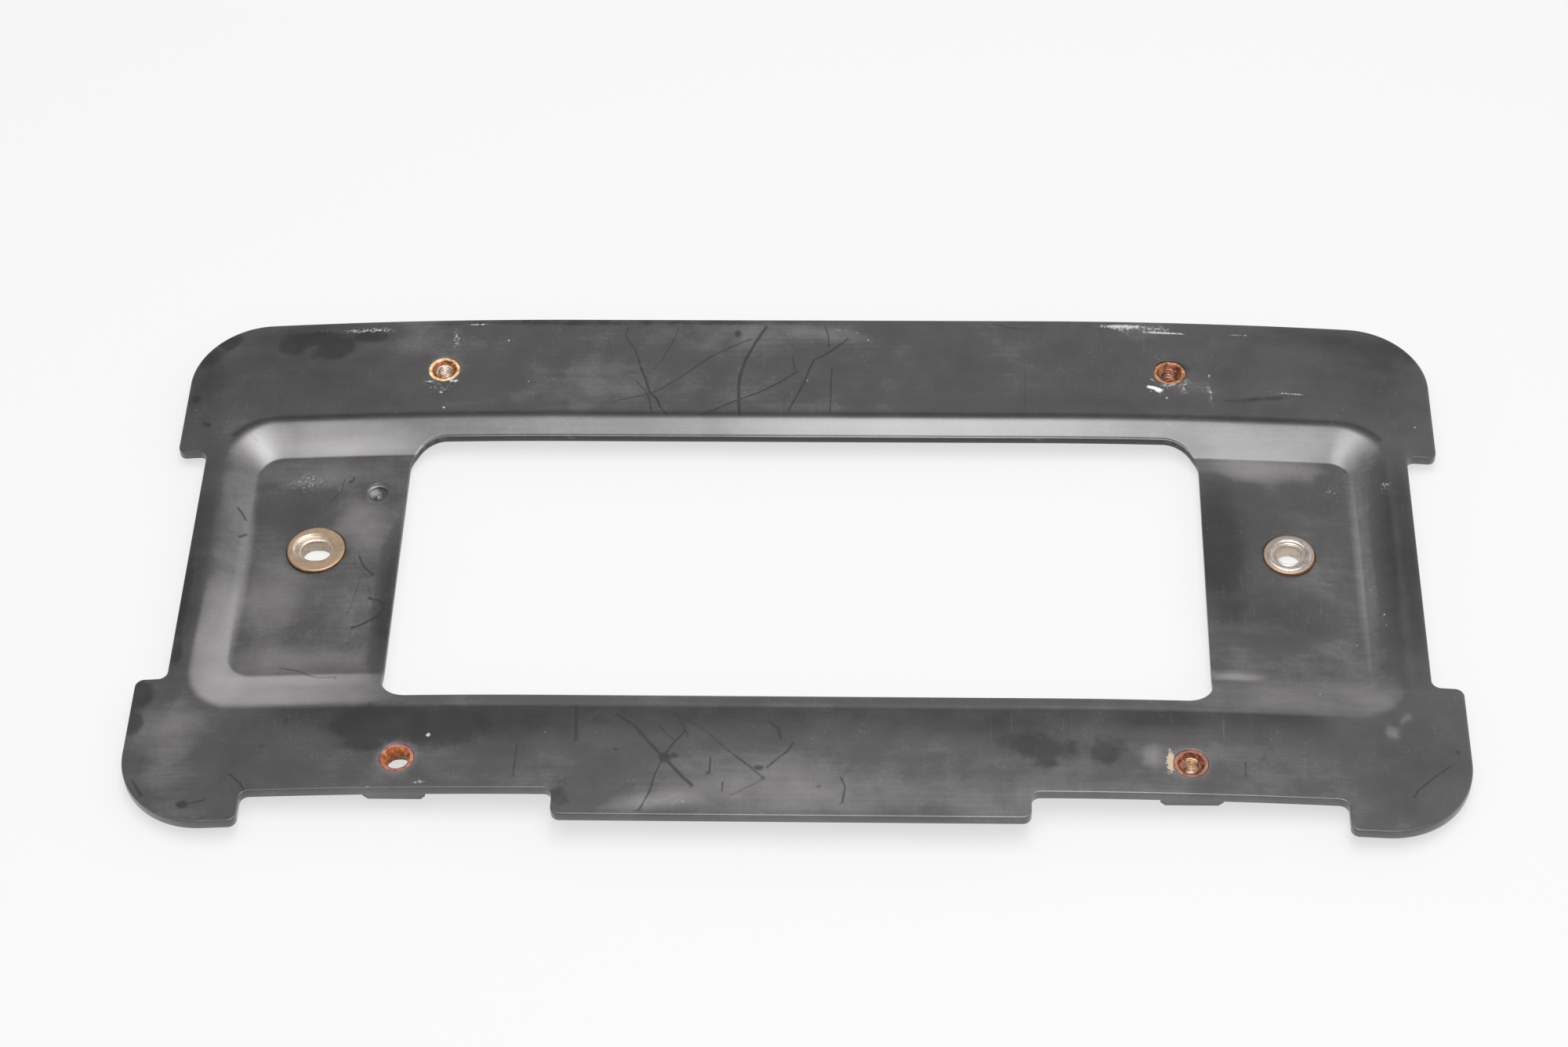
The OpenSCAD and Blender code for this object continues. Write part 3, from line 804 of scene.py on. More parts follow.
# Broad tones in the same form, lighter where the strength is positive: partly the plastic's own tone,
# partly painted highlights and shade
TONES_AND_PAINTED_LIGHT = [
    (88.6, -60.3, 6.2, 5.9, 0, 0.3),
    (-88.9, -60.3, 6.0, 5.9, 0, 0.45),
    (-88.9, 60.3, 5.8, 5.6, 0, 0.25),
    (-144, 0, 6, 50, 0, -0.45),
    (-149, 58, 8, 26, 0, -0.3),
    (-125, 57, 38, 18, 0, -0.2),
    (-106, 14, 9, 13, 15, 0.26),
    (-106, -12, 11, 9, 0, 0.11),
    (-122, -8, 12, 14, 0, 0.15),
    (-125, -5, 9, 33, 0, 0.13),
    (-115, -29, 24, 7, 0, 0.2),
    (-102.9, 24.1, 1.9, 1.7, 0, 1.0),
    # The next two are painted highlights along the foot of each side wall
    (-132, -3, 1.9, 34, 0, 0.34),
    (132.4, 3, 2.6, 40, 0, 0.3),
    (142.4, 2, 4.2, 42, 0, -0.6),
    (95, 48.5, 36, 5, 0, -0.14),
    (82, -48, 14, 4.5, 0, -0.25),
    (80.5, -58.5, 3.5, 4, 0, 0.35),
    (-25, -71, 20, 5, 10, 0.16),
    (-31, -72.5, 13, 2.6, 9, 0.22),
    (4, 73, 12, 4, -8, 0.2),
    (0, 60, 30, 13, 0, -0.06),
    (-96.5, -12, 3.5, 28, 0, -0.6),
    (-120, 18, 14, 10, 0, -0.17),
    (-114, 30, 22, 8, 0, 0.17),
    (108, 33, 19, 6, 0, 0.42),
    (98, 5, 9, 32, 0, -0.55),
    (104, 8, 16, 22, 0, -0.2),
    (112, -14, 18, 11, 0, -0.36),
    (104, -17.4, 15, 1.9, -3, 0.2),
    (122, 24, 10, 7, 0, -0.2),
    (122, -22.5, 14, 2.6, -30, 0.1),
    (100.5, -31.8, 8, 1.6, 0, 0.42),
    (75, 60, 20, 16, 0, -0.15),
    (137, 60, 19, 22, 0, -0.32),
    (128, 73, 24, 6, 0, -0.3),
    (-124, 73, 28, 5, 0, -0.3),
    (143, 70, 9, 8, 0, -0.2),
    (104, 62, 9, 10, 0, -0.18),
    (-50, 55, 18, 12, 0, 0.12),
    (-15, 70, 28, 8, 0, 0.12),
    (-125, -58, 24, 15, 0, -0.12),
    (-140, -51, 12, 10, 0, 0.22),
    (-139, -62, 11, 9, 0, 0.16),
    (134.6, -49.5, 2.2, 3.2, 20, 0.45),
    (137.6, -45.8, 1.2, 3.6, -35, 0.35),
    (-66, -53, 24, 8, 0, -0.26),
    (-8, -67, 36, 12, 0, 0.2),
    (45, -71, 64, 8, 0, 0.14),
    (76, -52, 12, 8, 0, 0.08),
    (50, -52, 18, 7, 0, -0.18),
    (138, -58, 18, 17, 0, -0.2),
]
# Painted highlights and shade of the pocket's wall alone, in the same form
WALL_PAINTED_LIGHT = [
    (-134, -24, 12, 24, 0, 0.42),
    (-118, -40, 31, 14, 0, 0.6),
    (-133, 39, 10, 9, 0, 0.42),
    (-114, 39, 24, 9, 0, 0.42),
    (-133, 10, 8, 36, 0, 0.12),
    (116, -40, 26, 10, 0, 0.16),
    (132, -40, 12, 10, 0, 0.12),
    (136, 39, 11, 10, 0, 0.16),
    (112, 39, 20, 9, 0, 0.2),
    (28, 42.4, 60, 6, 0, 0.32),
    (-112, 37.2, 22, 3.4, 0, 0.3),
    (-113, -34.4, 24, 3, 0, 0.3),
    (25, -43, 62, 5, 0, -0.13),
    (141, 3, 7, 44, 0, -0.6),
]


# A mark up to this half size in mm gets mesh points of its own
SMALL_MARK = 1.6
# The line of painted shade on the rim above the pocket: how far it lies off the mouth, how wide it is, and
# the height above the middle that it starts at, in mm
LINE_OFF, LINE_WIDE, LINE_FROM = 0.4, 0.7, 40
# The window's cut edge, darkened as painted shade, in mm: how far it reaches along X, its lower and upper
# end along Y, and how deep below the face it starts
CUT_EDGE_X, CUT_EDGE_LOW, CUT_EDGE_HIGH, CUT_EDGE_DEPTH = 95.3, -41.8, 40, 0.3
# The darker band on the rim below the pocket in mm: its upper end, where it is darkest, its lower end, and
# where it fades out to both sides
LOW_BAND_UPPER, LOW_BAND_MIDDLE, LOW_BAND_LOWER, LOW_BAND_SIDES = -45.3, -46.0, -57.0, (112, 128)
# Depth below the face in mm down to which the broad tones reach
TONE_DEPTH = 1.2


def turned(x, y, centre_x, centre_y, degrees):
    """Places along and across a shape that is turned about its centre."""
    c, s = math.cos(math.radians(degrees)), math.sin(math.radians(degrees))
    return (x - centre_x) * c + (y - centre_y) * s, (y - centre_y) * c - (x - centre_x) * s


def stroke_points(spacing=0.8):
    """Points on and beside the strokes, so that the mesh can carry them."""
    spots = []
    for half, _, line in STROKES:
        half = half * STROKE_GROW
        for a, b in zip(line, line[1:]):
            a, b = np.array(a), np.array(b)
            along = b - a
            size = float(np.hypot(*along))
            side = np.array([-along[1], along[0]]) / size * half
            for t in np.arange(0, 1, spacing / size):
                middle = a + along * t
                spots += [middle, middle + side, middle - side]
        spots.append(np.array(line[-1]))
    return spots


def spot_points():
    """Extra mesh points in the small stains, scuffs and painted highlights."""
    spots = []
    for x, y, long, high, turn, _ in STAINS + SCUFFS_AND_HIGHLIGHTS:
        if min(long, high) > SMALL_MARK:
            continue
        c, s = math.cos(math.radians(turn)), math.sin(math.radians(turn))
        rows = max(1, round(long / max(high, 0.5)))
        for k in range(-2 * rows, 2 * rows + 1):
            for up in (-1.1, -0.5, 0, 0.5, 1.1):
                u, v = long * 1.1 * k / (2 * rows), high * up
                spots.append(np.array((x + c * u - s * v, y + s * u + c * v)))
    return spots


def ellipse_field(marks, x, y):
    """Strength of the marks at each point: full in the middle, none at the rim."""
    field = np.zeros_like(x)
    for mark_x, mark_y, long, high, turn, strength in marks:
        u, v = turned(x, y, mark_x, mark_y, turn)
        field = np.maximum(field, strength * np.clip(1.25 - np.hypot(u / long, v / high), 0, 1))
    return field


def haze_field(hazes, x, y):
    """Sum of the broad tones at each point, each fading smoothly to its rim."""
    field = np.zeros_like(x)
    for haze_x, haze_y, long, high, turn, strength in hazes:
        u, v = turned(x, y, haze_x, haze_y, turn)
        field += strength * np.clip(1 - (u / long) ** 2 - (v / high) ** 2, 0, 1) ** 1.4
    return field


def tone_field(face, x, y, z):
    """Broad tones of the face, partly the plastic's own and partly painted highlights and shade: those of
    the rim and floor, the painted highlights and shade of the wall, two edges darkened as painted shade,
    and a darker band along the foot of the rim."""
    share = face.share(x, y)
    wall = smoothstep(0.02, 0.2, share) * smoothstep(1.0, 0.93, share)
    field = haze_field(TONES_AND_PAINTED_LIGHT, x, y) * (1 - 0.6 * wall) + haze_field(WALL_PAINTED_LIGHT, x, y) * wall
    # Painted shade: the rim is darkened just above the upper wall, and so is the window's cut edge
    above = np.exp(-(((face.ring_distance(x, y, 0.0) - LINE_OFF) / LINE_WIDE) ** 2))
    field -= 0.5 * above * (y > LINE_FROM)
    deep = face.height(x, y) - z
    in_window = (np.abs(x) < CUT_EDGE_X) & (y > CUT_EDGE_LOW) & (y < CUT_EDGE_HIGH)
    in_window &= deep > CUT_EDGE_DEPTH
    # The rim is darker in a band along its foot, just below the pocket
    inner, outer = LOW_BAND_SIDES
    low_band = smoothstep(LOW_BAND_UPPER, LOW_BAND_MIDDLE, y) * smoothstep(LOW_BAND_LOWER, LOW_BAND_MIDDLE, y)
    low_band = low_band * smoothstep(outer, inner, np.abs(x))
    return (field - 0.45 * low_band) * (deep < TONE_DEPTH) - 0.8 * in_window


def stroke_field(x, y):
    """Strength of the strokes at each point."""
    field = np.zeros_like(x)
    for half, strength, line in STROKES:
        half = half * STROKE_GROW
        for (ax, ay), (bx, by) in zip(line, line[1:]):
            dx, dy = bx - ax, by - ay
            t = np.clip(((x - ax) * dx + (y - ay) * dy) / (dx * dx + dy * dy), 0, 1)
            away = np.hypot(x - ax - t * dx, y - ay - t * dy)
            field = np.maximum(field, strength * np.clip(1 - away / half, 0, 1))
    return field


def seat_places(plate, inserts, sleeves):
    """Middle and radius of every round seat in the face."""
    seat_r = inserts.outer_d / 2 + inserts.seat_gap
    seats = [
        (x * inserts.pitch_x / 2, y * inserts.pitch_y / 2, seat_r) for x in (-1, 1) for y in (-1, 1)
    ]
    seats.append((-sleeves.pitch / 2, sleeves.rise, sleeves.slot_flange_d / 2 + sleeves.seat_gap))
    seats.append((sleeves.pitch / 2, sleeves.rise, sleeves.round_flange_d / 2 + sleeves.seat_gap))
    seats.append((-plate.mark_x, plate.mark_y, plate.mark_ring_d / 2))
    return seats


# Shares of the wall that carry a ring of mesh points, from the rim to the floor
RING_SHARES = (-0.15, -0.08, -0.04, 0, 0.03, 0.06, 0.09, 0.125, 0.16, 0.2, 0.25)
RING_SHARES += (0.3, 0.45, 0.6, 0.75, 0.88, 0.94, 0.97, 1.0, 1.05, 1.12, 1.22)
# Spacing of the mesh points in mm: along those rings, and in the grid along X and Y
RING_STEP, GRID_X, GRID_Y = 0.8, 1.6, 1.8
# Distances off a seat's edge in mm: of its rings of mesh points, and of all other points
SEAT_RINGS, SEAT_CLEAR = (0.3, 0.55, 1.1), 1.4
# Distance in mm that loose points keep from the outline and the window, the width
# of the first border inside the rounded edges, and the least distance of two points
EDGE_CLEAR, BORDER, LEAST_GAP = 0.95, 0.15, 0.15


def inner_spots(face, loops, seats):
    """Mesh points inside the outline: in the marks, down the pocket's wall, in an
    even grid, and round the seats."""
    spots = stroke_points() + spot_points()
    for share in RING_SHARES:
        half_w, up, down, radius = face.ring(share)
        corners = [(half_w, -down), (half_w, up), (-half_w, up), (-half_w, -down)]
        ring, _ = rounded_path([(x, y, radius) for x, y in corners], RING_STEP, RING_STEP)
        spots += list(ring)
    for i, x in enumerate(np.arange(-151, 151.5, GRID_X)):
        column = np.arange(-76.5, 77, GRID_Y) + GRID_Y / 2 * (i % 2)
        share = face.share(np.full(len(column), x), column)
        spots += [np.array((x, y)) for y, s in zip(column, share) if s < 0.002 or s > 0.998]
    spots = np.array(spots)
    turns = np.radians(np.arange(0, 360, 7.5))
    for x, y, radius in seats:
        spots = spots[np.hypot(spots[:, 0] - x, spots[:, 1] - y) > radius + SEAT_CLEAR]
        rim = [
            np.stack([x + r * np.cos(turns), y + r * np.sin(turns)], 1)
            for r in (radius + off for off in SEAT_RINGS)
        ]
        spots = np.concatenate(rim + [spots])
    in_outline, in_window = (
        inside_path(loop - normals * EDGE_CLEAR, spots[:, 0], spots[:, 1]) for loop, normals in loops
    )
    spots = spots[in_outline & ~in_window]
    _, alone = np.unique(np.round(spots / LEAST_GAP).astype(int), axis=0, return_index=True)
    return spots[np.sort(alone)]


def sheet_mesh(plate, face, seats):
    """The bowed sheet with its pocket and window, as points in mm and faces."""
    loops = [rounded_path(plate_corners(plate)), rounded_path(window_corners(plate))]
    spots = inner_spots(face, loops, seats)
    edge_top = plate.edge_r
    first = [loop - normals * (edge_top + BORDER) for loop, normals in loops]
    second = [loop - normals * (edge_top + 3 * BORDER) for loop, normals in loops]
    flat = [Vector(p) for ring in first + second for p in ring] + [Vector(p) for p in spots]
    edges, start = [], 0
    for ring in first + second:
        count = len(ring)
        edges += [(start + i, start + (i + 1) % count) for i in range(count)]
        start += count
    verts, _, tris, origins, _, _ = delaunay_2d_cdt(flat, edges, [], 0, 1e-6)
    verts = np.array(verts)
    where = {o: i for i, source in enumerate(origins) for o in source}
    tris = np.array([t for t in tris if len(t) == 3])
    middles = verts[tris].mean(axis=1)
    in_outline, in_window = (inside_path(ring, middles[:, 0], middles[:, 1]) for ring in first)
    tris = tris[in_outline & ~in_window]
    cross = np.cross(verts[tris[:, 1]] - verts[tris[:, 0]], verts[tris[:, 2]] - verts[tris[:, 0]])
    tris = np.where((cross < 0)[:, None], tris[:, ::-1], tris)

    tops = face.height(verts[:, 0], verts[:, 1])
    count = len(verts)
    points = [(x, y, z) for (x, y), z in zip(verts, tops)]
    points += [(x, y, z - plate.wall_t) for (x, y), z in zip(verts, tops)]
    faces = [tuple(map(int, t)) for t in tris] + [tuple(int(i) + count for i in t[::-1]) for t in tris]

    # Rounded edge down the side of each loop
    bends_top = [math.radians(a) for a in (0, 22.5, 45, 67.5, 90)]
    bends_back = [math.radians(a) for a in (90, 60, 30, 0)]
    start = 0
    for (loop, normals), edge_back in zip(loops, (plate.back_edge_r, plate.window_back_r)):
        size = len(loop)
        rows = [[where[start + i] for i in range(size)]]
        heights = face.height(loop[:, 0], loop[:, 1])
        bends = [(edge_top, a, True) for a in bends_top] + [(edge_back, a, False) for a in bends_back]
        for radius, angle, at_top in bends:
            ring = loop - normals * radius * (1 - math.sin(angle))
            drop = radius * (1 - math.cos(angle))
            level = heights - drop if at_top else heights - plate.wall_t + drop
            rows.append(list(range(len(points), len(points) + size)))
            points += [(x, y, z) for (x, y), z in zip(ring, level)]
        rows.append([where[start + i] + count for i in range(size)])
        for a, b in zip(rows, rows[1:]):
            faces += [(a[i], b[i], b[(i + 1) % size], a[(i + 1) % size]) for i in range(size)]
        start += size
    return points, faces


# In mm: rounding of a seat's mouth, height of its cutter above the mouth, and
# rounding of the lower edge of a boss or pad
MOUTH_EDGE, CUT_ABOVE, POST_EDGE = 0.15, 1.5, 0.25


def lathe_rings(profile, centre, steps=64, tilt=0.0):
    """Rings round a centre from a profile of (radius, height), in mm."""
    angles = [2 * math.pi * i / steps for i in range(steps)]
    cx, cy, cz = centre
    lean = math.sin(tilt)
    return [
        [
            (
                cx + radius * math.cos(a),
                cy + radius * math.sin(a),
                cz + height + lean * radius * math.cos(a),
            )
            for a in angles
        ]
        for radius, height in profile
    ]


def quarter(pieces):
    """Angles along a quarter of a turn."""
    return [math.pi / 2 * k / pieces for k in range(pieces + 1)]


def rounded_mouth(radius, depth):
    """Profile of a cutter for a hole whose mouth at height 0 is rounded."""
    edge = MOUTH_EDGE
    profile = [(radius, -depth)]
    profile += [(radius + edge * (1 - math.cos(a)), -edge + edge * math.sin(a)) for a in quarter(4)]
    return profile + [(radius + edge, CUT_ABOVE)]


def rounded_post(radius, bottom, top):
    """Profile of a round post whose lower edge is rounded."""
    edge = POST_EDGE
    corner = [(radius - edge, bottom), (radius - edge * 0.3, bottom + edge * 0.3)]
    return corner + [(radius, bottom + edge), (radius, top)]


def rounded_rim(radius, top, edge, pieces):
    """Profile round the upper edge of a flange, from its side to its top."""
    return [
        (radius - edge * (1 - math.cos(a)), top - edge * (1 - math.sin(a))) for a in quarter(pieces)
    ]


def stadium(cx, cy, long, high, z, steps=64):
    """Ring of a slot with round ends along X, by angle about its middle."""
    reach, radius = (long - high) / 2, high / 2
    ring = []
    for i in range(steps):
        a = 2 * math.pi * i / steps
        c, s = math.cos(a), math.sin(a)
        side = radius / max(abs(s), 1e-9)
        if abs(c) * side <= reach:
            distance = side
        else:
            distance = abs(c) * reach + math.sqrt(max(radius**2 - (reach * s) ** 2, 0))
        ring.append((cx + distance * c, cy + distance * s, z))
    return ring


def paint_marks(mesh, face, wall):
    """Stores the marks at every point: stains, strokes, scuffs with two painted highlights among them, and
    broad tones with painted highlights and shade, in that order.
    """
    spots = np.empty(len(mesh.vertices) * 3, np.float32)
    mesh.vertices.foreach_get("co", spots)
    spots = spots.reshape(-1, 3) / MM
    x, y, z = spots.T.astype(float)
    on_face = z > face.height(x, y) - wall * 0.6
    fields = [
        ellipse_field(STAINS, x, y) * on_face,
        stroke_field(x, y) * on_face,
        ellipse_field(SCUFFS_AND_HIGHLIGHTS, x, y) * on_face,
        tone_field(face, x, y, z),
    ]
    marks = mesh.attributes.new("marks", "FLOAT_COLOR", "POINT")
    marks.data.foreach_set("color", np.stack(fields, 1).astype(np.float32).ravel())


class PLATE_OT_body(bpy.types.Operator):
    """Builds the moulded plate with its seats, bosses, pads and marks"""

    bl_idname = "plate_holder.body"
    bl_label = "Moulded plate"
    bl_options = {"REGISTER", "UNDO"}

    def execute(self, context):
        plate = in_mm(context.scene.plate_settings)
        inserts = in_mm(context.scene.insert_settings)
        sleeves = in_mm(context.scene.sleeve_settings)
        face = BowedFace(plate)
        points, faces = sheet_mesh(plate, face, seat_places(plate, inserts, sleeves))
        piece = mesh_object("moulded_plate", points, faces)
        face_outwards(piece.data)

        screw_x, screw_y = inserts.pitch_x / 2, inserts.pitch_y / 2
        insert_z = float(face.rim(screw_x))
        in_sheet = insert_z - plate.wall_t / 2
        notch_y = plate.tab_rise + plate.notch_d - plate.body_h / 2
        boss_r = plate.boss_d / 2
        profile = rounded_post(boss_r, insert_z - inserts.long, in_sheet)
        high, cut = plate.block_d - plate.wall_t / 2, plate.block_chamfer
        section = [(-boss_r, 0), (-boss_r, -high + cut), (-boss_r + cut, -high)]
        section += [(boss_r - cut, -high), (boss_r, -high + cut), (boss_r, 0)]
        for x in (-screw_x, screw_x):
            for y in (-screw_y, screw_y):
                carve(piece, capped("boss", lathe_rings(profile, (x, y, 0))), "UNION")
            rings = [[(x + u, y, in_sheet + v) for u, v in section] for y in (notch_y + 0.02, -screw_y)]
            carve(piece, capped("block", rings), "UNION")

        floor_z = float(face.rim(sleeves.pitch / 2)) - plate.pocket_d
        seat_z = floor_z + sleeves.proud - sleeves.flange_t
        profile = rounded_post(plate.pad_d / 2, 0.0, floor_z - plate.wall_t / 2)
        for side in (-1, 1):
            rings = lathe_rings(profile, (side * sleeves.pitch / 2, sleeves.rise, 0), steps=96)
            carve(piece, capped("pad", rings), "UNION")

        # Seats of the inserts, the rounded mouth following the bow
        slope = math.atan((screw_x - plate.flat_w / 2) / plate.bow_r)
        profile = rounded_mouth(inserts.outer_d / 2 + inserts.seat_gap, 2 * inserts.long)
        for x in (-screw_x, screw_x):
            for y in (-screw_y, screw_y):
                rings = lathe_rings(profile, (x, y, insert_z), 64, -math.copysign(slope, x))
                carve(piece, capped("seat", rings), "DIFFERENCE")

        # Seats of the sleeves: a recess for the flange and a hole for the barrel
        slope = math.atan((sleeves.pitch / 2 - plate.flat_w / 2) / plate.bow_r)
        for side, flange, long, shift in (
            (-1, sleeves.slot_flange_d, sleeves.slot_len, sleeves.slot_shift),
            (1, sleeves.round_flange_d, sleeves.bore_d, 0.0),
        ):
            x, y = side * sleeves.pitch / 2, sleeves.rise
            recess = flange / 2 + sleeves.seat_gap
            profile = rounded_mouth(recess, floor_z - seat_z)
            rings = lathe_rings(profile, (x, y, floor_z), 96, -side * slope)
            carve(piece, capped("recess", rings), "DIFFERENCE")
            grow = 2 * (sleeves.wall + sleeves.barrel_gap)
            ends = (-1.0, seat_z + 0.5)
            rings = [stadium(x - shift, y, long + grow, sleeves.bore_d + grow, z) for z in ends]
            carve(piece, capped("barrel_hole", rings), "DIFFERENCE")

        # Moulding mark: a shallow ring and a dimple with a broken nub in it
        mark_z = float(face.rim(plate.mark_x)) - plate.pocket_d
        ring_r, dimple_r = plate.mark_ring_d / 2, plate.mark_d / 2
        profile = [
            (0.5, -0.55),
            (0.9, -0.7),
            (1.3, -1.15),
            (dimple_r - 0.25, -1.2),
            (dimple_r - 0.05, -1.0),
            (dimple_r + 0.05, -0.4),
            (dimple_r + 0.35, -0.22),
            (ring_r - 0.3, -0.2),
            (ring_r, 0.05),
            (ring_r + 0.05, 1.0),
        ]
        rings = lathe_rings(profile, (-plate.mark_x, plate.mark_y, mark_z))
        for k, lift in enumerate((0.12, 0.1, 0.05)):
            rings[k] = [
                (x, y, z + lift * noise.noise(Vector((x * 1.7, y * 1.7, 3.0)))) for x, y, z in rings[k]
            ]
        carve(piece, capped("mark", rings), "DIFFERENCE")

        tidy_mesh(piece.data, sharp_degrees=32)
        paint_marks(piece.data, face, plate.wall_t)
        piece.data.materials.clear()
        piece.data.materials.append(plastic_finish(context.scene.plate_settings.plastic))
        seat_piece(piece, "base_plate")
        return {"FINISHED"}


# Middle of the red rusted insert in metres: the scuffs beside it are stained brown
RED_INSERT = (0.0889, -0.0603, 0.0086)
# Tones on the plastic: waxy film, which also paints the highlights of the broad tones, dust, dark stains,
# scuffed plastic, which also paints two small highlights, scuffs stained with rust, and the brightest
# scuffs
FILM_AND_HIGHLIGHT, DUST, DIRT = (0.302, 0.29, 0.291), (0.4, 0.39, 0.38), (0.012, 0.0115, 0.011)
SCUFFED_AND_HIGHLIGHT, RUSTY_SCUFF, BRIGHT_SCUFF = (0.42, 0.41, 0.40), (0.40, 0.31, 0.20), (0.82, 0.82, 0.81)


def plastic_finish(base):
    """Satin plastic with a waxy bloom, stains, strokes and scuffs, and painted highlights and shade in its
    broad tones and in two of its scuffs.
    """
    s = Shader("worn dark plastic")
    stain, stroke, scuff_and_highlight, tone_and_painted_light = (s.attribute("marks", c) for c in ("Red", "Green", "Blue", "Alpha"))
    broad = s.noise(26, 3, 0.6, distortion=0.6)
    middle = s.noise(110, 5, 0.6, distortion=0.4)
    fine = s.noise(900, 4, 0.7)
    cloud = s.noise(60, 5, 0.6, stretch=(1.0, 4.0, 1.0))
    brushed = s.noise(1.0, 4, 0.6, stretch=(30.0, 1300.0, 1300.0))
    ragged = s.noise(230, 4, 0.65)

    # Waxy film: light where it is thick, the bare dark plastic where it is gone; the broad tones feed it,
    # so it also carries painted highlights and shade
    bloom_and_painted_light = tone_and_painted_light + (broad - 0.5) * 0.42 + (middle - 0.5) * 0.28 + (cloud - 0.5) * 0.18
    bloom_and_painted_light = bloom_and_painted_light + (brushed - 0.5) * 0.13 + (fine - 0.5) * 0.12
    tone = s.blend(s.line(bloom_and_painted_light, 0.0, 1.0), tuple(base), FILM_AND_HIGHLIGHT)
    tone = s.blend(s.line(bloom_and_painted_light, -0.5, 0.0, 1.0, 0.0), tone, tuple(c * 0.4 for c in base))

    # Dust specks and short scratches
    speck = s.step(s.noise(2600, 1, 0.5), 0.70, 0.76) * s.step(middle, 0.42, 0.62)
    scratch = s.step(s.noise(1.0, 1, 0.5, stretch=(2400.0, 110.0, 400.0)), 0.68, 0.76)
    scratch = scratch * s.step(broad, 0.45, 0.6)
    tone = s.blend(speck * 0.3 + scratch * 0.06, tone, DUST)

    # Stains and strokes take the film away
    stain_mask = s.step(stain + (ragged - 0.5) * 0.95 + (fine - 0.5) * 0.3, 0.2, 0.72)
    stain_mask = stain_mask * s.step(stain, 0.02, 0.12)
    stroke_mask = s.step(stroke + (fine - 0.5) * 0.3 + (ragged - 0.5) * 0.5, 0.1, 0.7, 0.0, 0.8)
    dirt = stroke_mask.math("MAXIMUM", stain_mask * 0.84, stroke_mask)
    tone = s.blend(dirt * 0.9, tone, DIRT)

    # Scuffs are rubbed pale, the deepest nearly white; two marks among them are painted highlights on the
    # bumps over the left block
    speckle = s.noise(1500, 3, 0.7)
    scuff_and_highlight_mask = s.step(scuff_and_highlight * 0.9 + (speckle - 0.5) * 1.3 + (middle - 0.5) * 0.5, 0.42, 0.8)
    scuff_and_highlight_mask = scuff_and_highlight_mask * s.step(scuff_and_highlight, 0.0, 0.15)
    clear_of_red = s.step(s.distance(RED_INSERT), 0.0055, 0.0085)
    tone = s.blend(scuff_and_highlight_mask, tone, s.blend(clear_of_red, RUSTY_SCUFF, SCUFFED_AND_HIGHLIGHT))
    tone = s.blend(s.step(scuff_and_highlight, 0.95, 1.25) * clear_of_red * scuff_and_highlight_mask, tone, BRIGHT_SCUFF)
    rough = s.step(middle, 0.3, 0.7, 0.34, 0.42) + scuff_and_highlight_mask * 0.25
    height = fine * 0.5 + middle * 0.6 + brushed * 0.35 - dirt * 0.5
    return s.finish(
        Base_Color=tone,
        Roughness=rough,
        Normal=s.bump(height, 0.00002, 0.5),
        IOR=1.5,
        Coat_Weight=s.line(bloom_and_painted_light, -0.6, 0.15, 0.2, 1.0) * (1 - dirt * 0.95),
        Coat_Roughness=0.33,
        Coat_IOR=1.6,
    )


# The inserts


# Turns of the thread groove, from below an insert's lower end up to its mouth
THREAD_TURNS = 11.0
# Seed of the noise in the crust, so that every run builds the same inserts
CRUST_SEED = 1


def crusted(rings, amount, seed):
    """Rings with their points pushed about by noise, as corroded metal."""
    moved = []
    for ring in rings:
        row = []
        for x, y, z in ring:
            v = Vector((x * 1.3 + seed, y * 1.3, z * 1.3))
            push = noise.noise_vector(v) * amount + noise.noise_vector(v * 3.1) * amount * 0.5
            row.append((x + push.x * 0.5, y + push.y * 0.5, z + push.z))
        moved.append(row)
    return moved


def eaten_end(rings, centre, bottom):
    """Rings whose lower end rust has left slanting and ragged."""
    moved = []
    for ring in rings:
        row = []
        for x, y, z in ring:
            low = z - centre[2]
            slant = 0.22 * (x - centre[0]) * smoothstep(-2.0, bottom, low)
            rag = 0.25 * noise.noise(Vector((x, y, 1.0))) * smoothstep(-2.6, bottom, low)
            row.append((x, y, z + slant + rag))
        moved.append(row)
    return moved


def insert_profile(outer, mouth, deep, inner, bottom):
    """Profile of an insert: its side, the worn ring on top, the countersink and the bore."""
    ring_w, throat = outer - mouth, mouth - 0.08
    cone = throat - inner
    profile = [(outer, bottom + 0.1), (outer, bottom / 2), (outer, -0.3), (outer - 0.03, -0.12)]
    profile += [(outer - 0.12, -0.05), (outer - 0.3 * ring_w, -0.02), (outer - 0.6 * ring_w, -0.02)]
    profile += [(mouth + 0.08, -0.05), (mouth, -0.1), (throat, -0.2)]
    profile += [(throat - cone * k / 4, -0.2 - (deep - 0.2) * k / 4) for k in (1, 2, 3)]
    profile += [(inner + 0.03, -deep), (inner, -deep - 0.1)]
    profile += [(inner, -deep - 0.1 + (bottom + deep + 0.2) * k / 10) for k in range(1, 11)]
    return profile + [(inner + 0.1, bottom), (outer - 0.1, bottom)]


